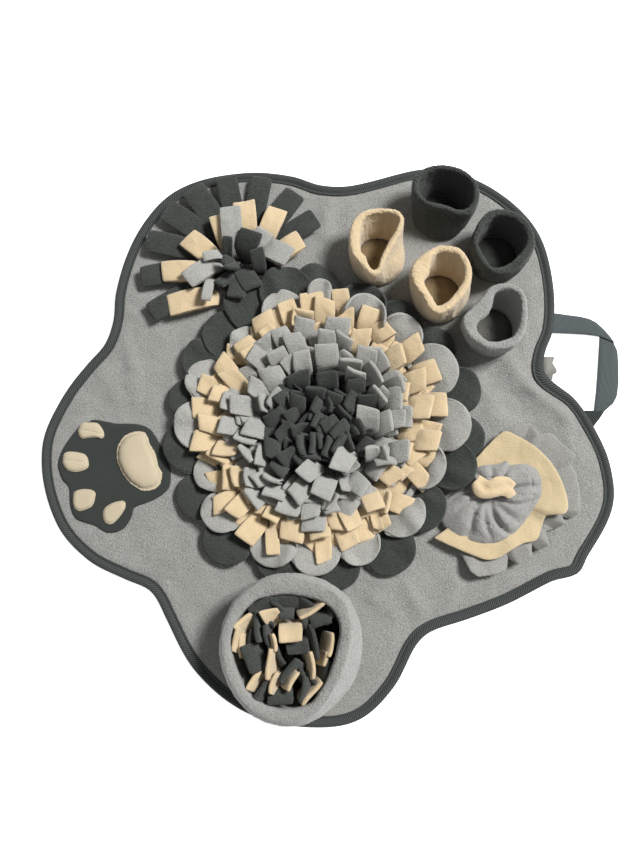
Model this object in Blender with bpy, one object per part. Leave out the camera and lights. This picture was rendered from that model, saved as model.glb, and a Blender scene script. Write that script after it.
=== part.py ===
"""Snuffle mat: a five-lobed fleece mat with a bound edge and a carry strap.

Sewn on it are a rag flower with two rings of petals, a fan of strips, five short
fleece cups, a bucket full of strips, a gathered rosette and a paw with stuffed pads.
All sizes are in millimetres and become metres when a piece is made.
The mat lies on z = 0, and the flower's middle stands over the origin.
"""
import math
import random

import bmesh
import bpy
from mathutils import Matrix, Vector

MM = 0.001
GAP = 0.3  # between pieces that touch
EDGE_GAP = 0.5  # between the mat and the binding, whose curves are cut into facets

# Mat and its binding
MAT_THICK = 4.0
EDGE_STEPS = 90
BINDING_THICK = 1.0
BINDING_WIDTH = 13.0
ON_MAT = MAT_THICK + GAP
FLAT_SHARE = 0.9  # inside this share of the outline the mat lies dead flat
LIFTED_SHARE = 0.97  # beyond this share it has its full lift

# Sewn backings and fleece
BACKING_THICK = 2.0
PLY = 2.5
ON_BACKING = ON_MAT + BACKING_THICK
ROOT_SINK = 0.7  # how deep an upright strip is set into its backing
FLAT_ROOT_SINK = 0.4  # the same for a strip that leaves it nearly flat
FLOWER_X = -1.0
FLOWER_Y = 7.0
FAN_X = -94.8
FAN_Y = 219.9
BUCKET_X = -24.5
BUCKET_Y = -256.0
ROSETTE_X = 215.0
ROSETTE_Y = -79.0
PAW_X = -245.0
PAW_Y = -45.0

DARK = (0.078, 0.088, 0.082)
TAPE = (0.060, 0.064, 0.062)
CREAM = (0.80, 0.66, 0.42)
GREY = (0.36, 0.36, 0.345)
STRAP = (0.115, 0.135, 0.135)
BUFF = (0.25, 0.24, 0.22)

# bearing (degrees from +X), radius of the outline
OUTLINE = [
    (1, 337), (8, 316), (12.5, 293), (15.5, 286), (20, 297), (24, 318),
    (35, 357), (43, 380), (51, 388), (60, 386), (67, 376), (78, 337),
    (84, 323), (90, 323), (96, 337), (106, 354), (120, 366), (130, 352),
    (145, 313), (151, 295), (157, 290), (163, 301), (172, 321), (183, 340),
    (199, 336), (209, 317), (217, 292), (223.5, 277), (231, 288), (243, 319),
    (256, 341), (270, 346), (278, 340), (286, 313), (293.5, 279), (299, 271),
    (308, 283), (317, 302), (327, 328), (331, 350), (335, 353), (346, 365),
    (354, 355),
]

# bearing, half width in degrees, height that the mat's edge stands off the floor
EDGE_LIFTS = [
    (17, 9, 2.5), (86, 9, 2.0), (153, 9, 3.0), (223, 7, 2.0), (297, 9, 2.5), (329, 6, 6.0),
]

# bearing, reach, width and tip lift of each petal, from the flower's middle
DARK_PETALS = [
    (2, 208, 62, 8), (18, 206, 62, 0), (37, 196, 60, 1), (54, 181, 54, 1), (72, 181, 54, 1),
    (90, 212, 62, 2), (107, 210, 60, 4), (125, 206, 66, 3), (144, 202, 70, 0), (165, 200, 72, 1),
    (187, 190, 70, 2), (208, 200, 74, 0), (231, 204, 74, 0), (253, 194, 70, 0), (279, 200, 62, 0),
    (298, 203, 74, 0), (322, 194, 70, 12), (343, 200, 66, 14),
]
LIGHT_PETALS = [
    (1, 190, 64, 9), (24, 194, 66, 0), (47, 183, 60, 0), (68, 186, 56, 0), (88, 194, 56, 0),
    (108, 184, 60, 0), (132, 178, 60, 0), (156, 184, 62, 0), (182, 182, 66, 0), (205, 176, 60, 0),
    (226, 184, 62, 0), (247, 182, 64, 0), (269, 184, 62, 0), (291, 178, 58, 2), (314, 178, 62, 9),
    (338, 172, 62, 13),
]
# share of a petal's length, share of its width, lean of a dark petal, of a light one
PETAL_SHAPE = [
    (0.0, 0.5, 90, 54), (0.3, 0.86, 71, 59), (0.6, 1.0, 88, 85), (0.85, 0.78, 97, 96),
    (1.0, 0.34, 99, 100),
]
PETAL_ROLL = 4.5
PETAL_INSET = 4.0  # from the backing's outer edge in to the petals' roots
PETAL_SLACK = 1.03  # a petal is cut this much longer than its straight run
PETAL_ROOT_THICK = 1.8

# root radius, how many, lean at the root and at the tip in degrees off the vertical, length
DARK_ROWS = [(13, 3, 0, 4, 43), (30, 6, 3, 9, 43), (45, 8, 5, 15, 43), (60, 11, 8, 21, 43)]
GREY_ROWS = [(74, 14, 11, 30, 44), (87, 17, 13, 37, 44), (100, 19, 15, 42, 45)]
CREAM_ROWS = [(112, 21, 17, 47, 45), (124, 23, 20, 54, 46)]
DARK_DISC = 68.0
GREY_RING = (68.4, 106.0)
CREAM_RING = (106.4, 130.5)
DARK_PETAL_RING = (132.5, 147.0)
LIGHT_PETAL_RING = (132.5, 141.0)
# share of a loop's length, width, thickness
LOOP_SHAPE = [(0.0, 24.0, 4.5), (0.6, 28.0, 6.5), (1.0, 27.0, 4.2)]
LOOP_LENGTH_SPREAD = (-3.0, 2.0)
LOOP_LEAN_SPREAD = 2.0

# fan: bearing, reach, width
FAN_DARK = [
    (212, 137, 28), (191, 132, 29), (169, 126, 30), (147, 121, 31), (126, 117, 32),
    (103, 114, 28), (79, 112, 28), (54, 110, 30), (31, 106, 29),
]
FAN_CREAM = [
    (217, 112, 29), (189, 103, 29), (160, 86, 30), (132, 76, 22), (93, 80, 27), (59, 84, 30),
    (24, 84, 28),
]
FAN_GREY = [(224, 74, 20), (198, 84, 22), (164, 62, 18), (110, 70, 24), (55, 66, 27), (17, 74, 29)]
# x and y from the fan's middle, heading, lean at the tip
FAN_CENTRE = [(-11, 5, 195, 12), (-1, -8, 185, 8), (7, 8, 50, 16), (10, -8, 320, 14)]
FAN_CENTRE_SLIM = 0.61  # how wide these are beside a loop of the flower
FAN_CENTRE_LENGTH = 40.0
FAN_DISC = 18.0

# cups: name, material, base x, y, rim x, y, rim width (x), rim depth (y), height,
# bearing of the pushed-in wall, its depth
CUPS = [
    ("cup_dark_top", "dark_fleece", 152, 281, 151, 285, 84, 72, 57, 250, 6),
    ("cup_dark_right", "dark_fleece", 221, 225, 219, 228, 76, 77, 55, 215, 5),
    ("cup_cream_left", "cream_fleece", 73, 222, 70, 226, 70, 84, 55, 320, 8),
    ("cup_cream_right", "cream_fleece", 149, 173, 146, 182, 72, 76, 55, 195, 7),
    ("cup_light", "grey_fleece", 212, 130, 209, 135, 74, 75, 54, 150, 10),
]
CUP_BASE = 68.0
CUP_SIDES = 20
DENT_WIDTH = 32.0  # half width in degrees of a pushed-in stretch of wall
BUCKET_SIDES = 26
BUCKET_BASE = 138.0
BUCKET_FILL_X = -28.0  # middle of the backings inside the bucket
# outward step from the wall's face, share of the height
CUP_PROFILE = [
    (0.0, 0.0), (0.5, 0.5), (0.0, 0.9), (-2.5, 1.0), (-6.5, 1.0), (-9.0, 0.9), (-7.0, 0.5), (-6.5, 0.0),
]
BUCKET_PROFILE = [
    (0.0, 0.0), (5.0, 0.45), (0.5, 0.9), (-3.0, 1.0), (-9.0, 0.99), (-12.5, 0.9), (-5.0, 0.5),
    (-6.0, 0.0),
]
BUCKET_RIM = (-40.5, -254.0, 143.5, 158.5, 58.0)  # x, y, width, depth, height

# bucket strips: x from the bucket's middle, then a y for each strip in that line
BUCKET_CREAM_LINES = [(-37, (-22, 12)), (-13, (-42, -8, 27)), (12, (-33, 2, 38)), (37, (-20, 14))]
BUCKET_DARK_LINES = [
    (-47, (0,)), (-25, (-35, -3, 29)), (0, (-40, -13, 14, 40)), (25, (-33, -2, 30)), (47, (-4,)),
]
BUCKET_STRIP_SLIM = 0.86  # how wide these are beside a loop of the flower
BUCKET_STRIP_LENGTH = (36.0, 42.0)
BUCKET_STRIP_LEAN = (4.0, 14.0)
BUCKET_STRIP_TURN = 11.0
COMB_BAR = 6.0
COMB_RING = (53.5, 58.0)
BUCKET_DISC = 57.0

# rosette: bearing, reach of the outer frill, of the cream collar and of the gathered middle
ROSETTE = [
    (-150, 82, 90, 68), (-125, 86, 82, 60), (-100, 92, 75, 53), (-75, 86, 70, 50), (-48, 84, 65, 50),
    (-15, 97, 80, 51), (15, 101, 83, 52), (48, 103, 80, 49), (85, 87, 80, 46), (110, 80, 66, 46),
    (145, 72, 60, 55), (180, 72, 60, 62), (210, 82, 90, 68),
]
ROSETTE_PLEATS = 13
FRILL_SPAN = (-128.0, 104.0)
COLLAR_SPAN = (-150.0, 112.0)
FRILL_WAVE = 6.0
FRILL_FULL = 45.0  # run from the hole over which the pleats reach their full height
FRILL_HOLE = 34.0
COLLAR_RISE = PLY + 1.5
MIDDLE_STEM = 28.0
MIDDLE_RIM = 2 * PLY + FRILL_WAVE + 3.6  # underside of the middle's rim over the mat
MIDDLE_CROWN = MIDDLE_RIM + 10.5
# share of the reach (None is the stem), height over the mat, how pleated
MIDDLE_LEVELS = [
    (None, 0.0, 0.0), (None, MIDDLE_RIM - 0.4, 0.0), (1.0, MIDDLE_RIM, 1.0),
    (0.97, MIDDLE_RIM + 4.5, 1.0), (0.72, MIDDLE_RIM + 9.5, 1.0), (0.42, MIDDLE_CROWN, 0.8),
    (0.16, MIDDLE_RIM + 7.5, 0.2),
]
MIDDLE_STEPS = 36
MIDDLE_PLEATS = 12
MIDDLE_PLEAT = 1.6
SINK_BEARING = 155.0
SINK_WIDTH = 58.0
SINK_SHARE = 0.8
CURL_PATH = [(-33, 4), (-27, 14), (-16, 20), (-5, 8), (8, 18), (20, 12)]
CURL_THICK = 4.0
CURL_HEIGHT = 9.0
CURL_LAY = 6.0  # how far the curl's top edge leans over

# paw patch outline, x and y from the paw's middle
PAW_OUTLINE = [
    (-41, 61), (0, 53), (31, 56), (53, 32), (63, 2), (45, -26), (16, -48), (-4, -74),
    (-31, -66), (-56, -44), (-61, -20), (-75, 9), (-70, 30), (-52, 58),
]
# name, x, y, length, width, turn
PAW_TOES = [
    ("paw_toe_1", -35, 48, 30, 20, -12), ("paw_toe_2", -52, 10, 29, 23, -8),
    ("paw_toe_3", -40, -37, 27, 24, 20), ("paw_toe_4", -3, -52, 33, 19, 62),
]
PAW_PAD = (26, 11, 70, 50, 84)
PAW_PAD_NOTCH = 0.1
TOE_CROWN = 4.0
PAD_CROWN = 8.0
PAD_RIM = 0.8

# strap stations: outer edge x, y, inner edge x, y, how many plies lie there
STRAP_STATIONS = [
    (298.5, 154, 295.5, 126.5, 1), (336, 146.5, 345, 125, 1), (347, 140.5, 349, 124, 2),
    (368.4, 117.6, 348.6, 121, 2), (371.7, 86.8, 346.8, 87, 1), (369.0, 62.6, 343.5, 61, 1),
    (364.0, 40, 338.5, 33, 1), (353, 27, 336.8, 27.5, 2), (338.5, 13.5, 326.5, 28.5, 1),
]
STRAP_PLY = 1.8
TAB_LOW = 1.0
TAB_THICK = 1.4
TAB_OUTLINE = [(281.5, 96.5), (291.4, 96.5), (288, 89), (294, 79), (289, 73.5), (288, 70), (281.5, 76)]


def reset_scene():
    for thing in list(bpy.data.objects):
        bpy.data.objects.remove(thing, do_unlink=True)


def new_collection(name):
    group = bpy.data.collections.new(name)
    bpy.context.scene.collection.children.link(group)
    return group


def fabric(name, colour, roughness=0.95):
    material = bpy.data.materials.new(name)
    material.use_nodes = True
    shader = material.node_tree.nodes["Principled BSDF"]
    shader.inputs["Base Color"].default_value = (*colour, 1.0)
    shader.inputs["Roughness"].default_value = roughness
    shader.inputs["Metallic"].default_value = 0.0
    return material


def make_object(name, bm, collection, material=None):
    """Turn a bmesh in millimetres into an object in metres with its faces pointing out."""
    bmesh.ops.recalc_face_normals(bm, faces=bm.faces)
    bmesh.ops.scale(bm, vec=(MM, MM, MM), verts=bm.verts)
    mesh = bpy.data.meshes.new(name)
    bm.to_mesh(mesh)
    bm.free()
    thing = bpy.data.objects.new(name, mesh)
    collection.objects.link(thing)
    if material:
        mesh.materials.append(material)
    return thing


def ease(share):
    share = min(max(share, 0.0), 1.0)
    return share * share * (3.0 - 2.0 * share)


def first_third(share):
    """Grows from 0 to 1 over the first third of a strip."""
    return min(share * 3.0, 1.0)


def bump_at(bearing, centre, half_width):
    """A soft bump of height 1 round a bearing."""
    away = (bearing - centre + 180.0) % 360.0 - 180.0
    return math.exp(-((away / half_width) ** 2))


def read_table(rows, bearing, column, period=360.0):
    """Smooth closed curve through one column of a table of bearings."""
    count = len(rows)
    first = rows[0][0]
    bearing = (bearing - first) % period + first
    index = max(i for i in range(count) if rows[i][0] <= bearing)

    def knot(i):
        turns, place = divmod(i, count)
        return rows[place][0] + turns * period, rows[place][column]

    (b0, r0), (b1, r1), (b2, r2), (b3, r3) = (knot(index + step) for step in (-1, 0, 1, 2))
    slope_1 = (r2 - r0) / (b2 - b0)
    slope_2 = (r3 - r1) / (b3 - b1)
    gap = b2 - b1
    t = (bearing - b1) / gap
    return (
        (2 * t**3 - 3 * t**2 + 1) * r1 + (t**3 - 2 * t**2 + t) * gap * slope_1
        + (3 * t**2 - 2 * t**3) * r2 + (t**3 - t**2) * gap * slope_2
    )


def polar(radius, bearing, x=0.0, y=0.0, z=0.0):
    angle = math.radians(bearing)
    return Vector((x + radius * math.cos(angle), y + radius * math.sin(angle), z))


def edge_point(bearing):
    return polar(read_table(OUTLINE, bearing, 1), bearing)


def edge_lift(bearing):
    """How far the mat's rim stands off the floor at a bearing."""
    return sum(height * bump_at(bearing, centre, half_width)
               for centre, half_width, height in EDGE_LIFTS)


def edge_ring(inset, height):
    """Points of the outline moved in by inset, riding on the lifted rim."""
    ring = []
    for step in range(EDGE_STEPS):
        bearing = 360.0 * step / EDGE_STEPS
        along = edge_point(bearing + 1.5) - edge_point(bearing - 1.5)
        inward = Vector((-along.y, along.x, 0.0)).normalized()
        spot = edge_point(bearing) + inward * inset
        share = spot.length / edge_point(bearing).length
        rise = edge_lift(bearing) * ease((share - FLAT_SHARE) / (LIFTED_SHARE - FLAT_SHARE))
        ring.append(Vector((spot.x, spot.y, height + rise)))
    return ring


def flat_ring(share, height):
    ring = []
    for step in range(EDGE_STEPS):
        spot = edge_point(360.0 * step / EDGE_STEPS) * share
        ring.append(Vector((spot.x, spot.y, height)))
    return ring


def loft(bm, rings, closed=False):
    """Skin a row of sections; closed joins the last to the first, otherwise ends are capped."""
    rows = [[bm.verts.new(point) for point in ring] for ring in rings]
    pairs = list(zip(rows, rows[1:]))
    if closed:
        pairs.append((rows[-1], rows[0]))
    count = len(rows[0])
    for lower, upper in pairs:
        for i in range(count):
            j = (i + 1) % count
            bm.faces.new((lower[i], lower[j], upper[j], upper[i]))
    if not closed:
        bm.faces.new(list(reversed(rows[0])))
        bm.faces.new(rows[-1])


def make_mat(parts, material):
    """One padded fleece slab; its underside steps up where the binding passes below it."""
    bm = bmesh.new()
    tuck = BINDING_THICK + EDGE_GAP
    step_end = BINDING_WIDTH + 1.0
    step_start = step_end + 1.0
    loft(bm, [
        flat_ring(FLAT_SHARE, 0.0),
        edge_ring(step_start, 0.0),
        edge_ring(step_end, tuck),
        edge_ring(tuck, tuck),
        edge_ring(tuck, MAT_THICK),
        edge_ring(step_start, MAT_THICK),
        flat_ring(FLAT_SHARE, MAT_THICK),
    ])
    make_object("mat_base", bm, parts, material)


def make_binding(parts, material):
    """Folded tape round the whole edge, a U in section."""
    bm = bmesh.new()
    top_leg = MAT_THICK + EDGE_GAP
    section = [
        (BINDING_WIDTH, 0.0), (0.3, 0.0), (0.0, top_leg / 2), (0.3, top_leg + BINDING_THICK),
        (BINDING_WIDTH, top_leg + BINDING_THICK), (BINDING_WIDTH, top_leg),
        (BINDING_THICK, top_leg), (BINDING_THICK, BINDING_THICK), (BINDING_WIDTH, BINDING_THICK),
    ]
    loft(bm, [edge_ring(inset, height) for inset, height in section], closed=True)
    make_object("edge_binding", bm, parts, material)


def strip_sections(root, heading, length, rows, yaw=0.0, roll=0.0):
    """Four-cornered sections of a strip that rises from its root and bends over.

    Rows are share of the length, width, thickness and lean in degrees off the vertical.
    Roll tips the strip about its own length.
    """
    out = polar(1.0, heading)
    flat_across = polar(1.0, heading + 90.0 + yaw)
    up = Vector((0.0, 0.0, 1.0))
    spot = Vector(root)
    sections = []
    last_share = 0.0
    last_lean = rows[0][3]
    for share, width, thick, lean in rows:
        middle = math.radians((lean + last_lean) / 2)
        spot = spot + (out * math.sin(middle) + up * math.cos(middle)) * length * (share - last_share)
        last_share = share
        last_lean = lean
        slope = math.radians(lean)
        along = out * math.sin(slope) + up * math.cos(slope)
        across = (flat_across - along * flat_across.dot(along)).normalized()
        across = Matrix.Rotation(math.radians(roll * first_third(share)), 3, along) @ across
        half_w = across * width / 2
        half_t = along.cross(across) * thick / 2
        sections.append([spot - half_w - half_t, spot + half_w - half_t,
                         spot + half_w + half_t, spot - half_w + half_t])
    return sections


def leaning(shape, lean_root, lean_tip):
    """Add an evenly growing lean to rows of share, width and thickness."""
    return [(share, width, thick, lean_root + (lean_tip - lean_root) * share)
            for share, width, thick in shape]


def slimmed(shape, part):
    """The same rows with each width cut down to a part of it."""
    return [(share, width * part, thick) for share, width, thick in shape]


def ring_plate(bm, inner, outer, low, high, x, y, start=0.0, end=360.0, steps=24):
    """Flat annulus, or an arc of one, that strips are sewn into."""
    full = end - start >= 360.0
    count = steps if full else steps + 1
    bearings = [start + (end - start) * i / steps for i in range(count)]
    corners = [(inner, low), (outer, low), (outer, high), (inner, high)]
    sections = [[polar(r, b, x, y, z) for r, z in corners] for b in bearings]
    loft(bm, sections, closed=full)


def disc_plate(bm, radius, low, high, x, y, steps=24):
    middle = Matrix.Translation((x, y, (low + high) / 2))
    bmesh.ops.create_cone(bm, cap_ends=True, segments=steps, radius1=radius, radius2=radius,
                          depth=high - low, matrix=middle)


def sew_strips(name, backing, layers, parts, guides, material):
    """Join a backing and the strips rooted in it into one body."""
    piece = make_object(name, backing, parts, material)
    for number, layer in enumerate(layers):
        helper = make_object(f"{name}_layer_{number}", layer, guides)
        helper.hide_render = True
        helper.display_type = "WIRE"
        join = piece.modifiers.new("sewn", "BOOLEAN")
        join.operation = "UNION"
        join.solver = "EXACT"
        join.object = helper


def make_petals(name, rows, low, ring, root_height, lean_column, parts, guides, material):
    """Ring of rounded petals sewn to one backing, each tipped a little like a fan blade."""
    backing = bmesh.new()
    strips = bmesh.new()
    ring_plate(backing, *ring, low, low + BACKING_THICK, FLOWER_X, FLOWER_Y)
    root_radius = ring[1] - PETAL_INSET
    for bearing, reach, width, tip_lift in rows:
        length = (reach - root_radius) * PETAL_SLACK
        rise = math.degrees(math.atan2(tip_lift, length))
        shape = [(row[0], width * row[1], PLY if row[0] else PETAL_ROOT_THICK,
                  row[lean_column] - rise * first_third(row[0])) for row in PETAL_SHAPE]
        root = polar(root_radius, bearing, FLOWER_X, FLOWER_Y, low + root_height)
        loft(strips, strip_sections(root, bearing, length, shape, roll=PETAL_ROLL))
    sew_strips(name, backing, [strips], parts, guides, material)


def make_flower(parts, guides, colours):
    make_petals("petals_dark", DARK_PETALS, ON_MAT, DARK_PETAL_RING, 1.0, 2, parts, guides,
                colours["dark_fleece"])
    make_petals("petals_light", LIGHT_PETALS, ON_BACKING + GAP, LIGHT_PETAL_RING, 1.8, 3, parts,
                guides, colours["grey_fleece"])
    disc = bmesh.new()
    disc_plate(disc, DARK_DISC, ON_MAT, ON_BACKING, FLOWER_X, FLOWER_Y)
    dark = flower_loops(DARK_ROWS, 16.0, 11)
    sew_strips("flower_dark", disc, [dark], parts, guides, colours["dark_fleece"])
    for name, ring, rows, spread, seed, colour in [
        ("flower_grey", GREY_RING, GREY_ROWS, 7.0, 12, "grey_fleece"),
        ("flower_cream", CREAM_RING, CREAM_ROWS, 5.0, 13, "cream_fleece"),
    ]:
        backing = bmesh.new()
        ring_plate(backing, *ring, ON_MAT, ON_BACKING, FLOWER_X, FLOWER_Y)
        sew_strips(name, backing, [flower_loops(rows, spread, seed)], parts, guides, colours[colour])


def flower_loops(rows, yaw_spread, seed):
    """Rows of folded loops that lean further out towards the flower's rim."""
    chance = random.Random(seed)
    bm = bmesh.new()
    for row, (radius, count, lean_root, lean_tip, length) in enumerate(rows):
        for i in range(count):
            bearing = 360.0 * (i + 0.5 * (row % 2) + 0.2 * row) / count
            yaw = chance.uniform(-yaw_spread, yaw_spread)
            tall = length + chance.uniform(*LOOP_LENGTH_SPREAD)
            lean = lean_tip + chance.uniform(-LOOP_LEAN_SPREAD, LOOP_LEAN_SPREAD)
            root = polar(radius, bearing, FLOWER_X, FLOWER_Y, ON_BACKING - ROOT_SINK)
            shape = leaning(LOOP_SHAPE, lean_root, lean)
            loft(bm, strip_sections(root, bearing, tall, shape, yaw=yaw))
    return bm


def fan_strips(rows, root_radius, root_width, lean_root, lean_tip, thick):
    """Strips that fan out from one side of a middle; each is as long as its reach needs."""
    bm = bmesh.new()
    mean = math.radians((lean_root + lean_tip) / 2)
    for bearing, reach, width in rows:
        length = (reach - root_radius) / math.sin(mean)
        shape = [(0.0, root_width, thick * 0.8), (0.4, width * 0.8, thick), (0.85, width, thick),
                 (1.0, width * 0.97, thick * 0.55)]
        root = polar(root_radius, bearing, FAN_X, FAN_Y, ON_BACKING - FLAT_ROOT_SINK)
        loft(bm, strip_sections(root, bearing, length, leaning(shape, lean_root, lean_tip)))
    return bm


def make_fan(parts, guides, colours):
    arcs = [
        ("fan_dark", FAN_DARK, "dark_fleece", (40.0, 47.0), (20.0, 223.0), 13.0, (70.0, 94.0), 3.6),
        ("fan_cream", FAN_CREAM, "cream_fleece", (30.0, 37.0), (10.0, 230.0), 14.0, (48.0, 88.0), 4.5),
        ("fan_grey", FAN_GREY, "grey_fleece", (20.5, 27.0), (2.0, 236.0), 9.0, (33.0, 82.0), 4.5),
    ]
    for name, rows, colour, ring, span, root_width, leans, thick in arcs:
        backing = bmesh.new()
        ring_plate(backing, *ring, ON_MAT, ON_BACKING, FAN_X, FAN_Y, *span, steps=20)
        strips = fan_strips(rows, sum(ring) / 2, root_width, *leans, thick)
        sew_strips(name, backing, [strips], parts, guides, colours[colour])
    backing = bmesh.new()
    disc_plate(backing, FAN_DISC, ON_MAT, ON_BACKING, FAN_X, FAN_Y, steps=16)
    strips = bmesh.new()
    shape = slimmed(LOOP_SHAPE, FAN_CENTRE_SLIM)
    for x, y, heading, lean in FAN_CENTRE:
        root = (FAN_X + x, FAN_Y + y, ON_BACKING - ROOT_SINK)
        loft(strips, strip_sections(root, heading, FAN_CENTRE_LENGTH, leaning(shape, 2.0, lean)))
    sew_strips("fan_centre", backing, [strips], parts, guides, colours["dark_fleece"])


def tube_wall(name, parts, material, base, rim, size, height, profile, sides, base_width, dent):
    """Soft upright tube: round where it is sewn down, oval and pushed in at the rim."""
    bearing_in, depth = dent
    rings = []
    for step_out, share in profile:
        blend = ease(share)
        centre = Vector(base) * (1.0 - blend) + Vector(rim) * blend
        half_x = base_width / 2 * (1.0 - blend) + size[0] / 2 * blend
        half_y = base_width / 2 * (1.0 - blend) + size[1] / 2 * blend
        ring = []
        for i in range(sides):
            bearing = 360.0 * i / sides
            turn = math.radians(bearing)
            oval = 1.0 / math.hypot(math.cos(turn) / half_x, math.sin(turn) / half_y)
            push = depth * blend * bump_at(bearing, bearing_in, DENT_WIDTH)
            ring.append(polar(oval + step_out - push, bearing, centre.x, centre.y,
                              ON_MAT + height * share))
        rings.append(ring)
    bm = bmesh.new()
    loft(bm, rings, closed=True)
    make_object(name, bm, parts, material)


def make_cups(parts, colours):
    for name, colour, x, y, rim_x, rim_y, wide, deep, height, bearing_in, depth in CUPS:
        tube_wall(name, parts, colours[colour], (x, y), (rim_x, rim_y), (wide, deep), height,
                  CUP_PROFILE, CUP_SIDES, CUP_BASE, (bearing_in, depth))


def bucket_strips(lines, low, seed):
    """Upright strips in lines along Y; they lean the way the bucket does."""
    chance = random.Random(seed)
    shape = slimmed(LOOP_SHAPE, BUCKET_STRIP_SLIM)
    bm = bmesh.new()
    for x, spots in lines:
        for y in spots:
            heading = 180.0 + chance.uniform(-BUCKET_STRIP_TURN, BUCKET_STRIP_TURN)
            lean = chance.uniform(*BUCKET_STRIP_LEAN)
            tall = chance.uniform(*BUCKET_STRIP_LENGTH)
            root = (BUCKET_FILL_X + x, BUCKET_Y + y, low)
            loft(bm, strip_sections(root, heading, tall, leaning(shape, 0.0, lean)))
    return bm


def make_bucket(parts, guides, colours):
    rim_x, rim_y, wide, deep, height = BUCKET_RIM
    tube_wall("bucket_wall", parts, colours["grey_fleece"], (BUCKET_X, BUCKET_Y), (rim_x, rim_y),
              (wide, deep), height, BUCKET_PROFILE, BUCKET_SIDES, BUCKET_BASE, (0, 0))
    disc = bmesh.new()
    disc_plate(disc, BUCKET_DISC, ON_MAT, ON_BACKING, BUCKET_FILL_X, BUCKET_Y)
    dark = bucket_strips(BUCKET_DARK_LINES, ON_BACKING - ROOT_SINK, 21)
    sew_strips("bucket_dark", disc, [dark], parts, guides, colours["dark_fleece"])
    comb_low = ON_BACKING + GAP
    comb = bmesh.new()
    ring_plate(comb, *COMB_RING, comb_low, comb_low + BACKING_THICK, BUCKET_FILL_X, BUCKET_Y)
    bars = bmesh.new()
    for x, _ in BUCKET_CREAM_LINES:
        reach = math.sqrt((COMB_RING[0] + 2.0) ** 2 - x**2)
        size = Matrix.Diagonal((COMB_BAR, 2 * reach, BACKING_THICK, 1.0))
        spot = Matrix.Translation((BUCKET_FILL_X + x, BUCKET_Y, comb_low + BACKING_THICK / 2))
        bmesh.ops.create_cube(bars, size=1.0, matrix=spot @ size)
    cream = bucket_strips(BUCKET_CREAM_LINES, comb_low + BACKING_THICK - ROOT_SINK, 22)
    sew_strips("bucket_cream", comb, [bars, cream], parts, guides, colours["cream_fleece"])


def outline_slab(points, low, high):
    """Flat piece cut to an outline."""
    bm = bmesh.new()
    loft(bm, [[Vector((x, y, z)) for x, y in points] for z in (low, high)])
    return bm


def frill_sheet(name, span, column, hole, low, wave, steps, parts, material):
    """Gathered sheet round the rosette's middle; its pleats grow towards the free edge."""
    start, end = span
    shares = (0.0, 0.45, 1.0)
    sections = []
    for i in range(steps + 1):
        bearing = start + (end - start) * i / steps
        reach = read_table(ROSETTE, bearing, column)
        pleat = 0.5 + 0.5 * math.sin(math.radians(bearing * ROSETTE_PLEATS))
        under = []
        for share in shares:
            radius = hole + (reach - hole) * share
            height = low + wave * pleat * ease((radius - hole) / FRILL_FULL)
            under.append(polar(radius, bearing, ROSETTE_X, ROSETTE_Y, height))
        over = [spot + Vector((0.0, 0.0, PLY)) for spot in reversed(under)]
        sections.append(under + over)
    bm = bmesh.new()
    loft(bm, sections)
    make_object(name, bm, parts, material)


def make_rosette(parts, colours):
    """Two gathered frills, a puffed middle and a curl of strip on top."""
    frill_sheet("rosette_frill", FRILL_SPAN, 1, FRILL_HOLE, ON_MAT, FRILL_WAVE, 44, parts,
                colours["grey_fleece"])
    frill_sheet("rosette_collar", COLLAR_SPAN, 2, FRILL_HOLE, ON_MAT + COLLAR_RISE, FRILL_WAVE, 44,
                parts, colours["cream_fleece"])
    make_rosette_middle(parts, colours["grey_fleece"])
    make_curl(parts, colours["cream_fleece"])


def rosette_sink(bearing, share):
    """How much of the middle's height is lost where the flower's petals press on it."""
    return SINK_SHARE * bump_at(bearing, SINK_BEARING, SINK_WIDTH) * ease(2.0 * share)


def make_rosette_middle(parts, material):
    """Gathered round of fleece: its rim hangs over the collar and its pleats run to the middle."""
    rings = []
    for share, height, pleated in MIDDLE_LEVELS:
        ring = []
        for i in range(MIDDLE_STEPS):
            bearing = 360.0 * i / MIDDLE_STEPS
            radius = share * read_table(ROSETTE, bearing, 3) if share else MIDDLE_STEM
            kept = 1.0 - rosette_sink(bearing, share or 1.0)
            pleat = MIDDLE_PLEAT * pleated * math.cos(math.radians(bearing * MIDDLE_PLEATS))
            height_here = ON_MAT + (height + pleat) * kept
            ring.append(polar(radius, bearing, ROSETTE_X, ROSETTE_Y, height_here))
        rings.append(ring)
    bm = bmesh.new()
    loft(bm, rings)
    make_object("rosette_middle", bm, parts, material)


def make_curl(parts, material):
    """Strip stood on edge in a loose S on the rosette's middle."""
    low = ON_MAT + MIDDLE_CROWN + MIDDLE_PLEAT + GAP
    rise = Vector((0.0, 0.0, CURL_HEIGHT))
    sections = []
    for i, (x, y) in enumerate(CURL_PATH):
        before = Vector((*CURL_PATH[max(i - 1, 0)], 0.0))
        after = Vector((*CURL_PATH[min(i + 1, len(CURL_PATH) - 1)], 0.0))
        along = (after - before).normalized()
        across = Vector((-along.y, along.x, 0.0))
        side = across * CURL_THICK / 2
        foot = Vector((ROSETTE_X + x, ROSETTE_Y + y, low))
        top = foot + rise + across * CURL_LAY
        sections.append([foot - side, foot + side, top + side, top - side])
    bm = bmesh.new()
    loft(bm, sections)
    make_object("rosette_curl", bm, parts, material)


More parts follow.
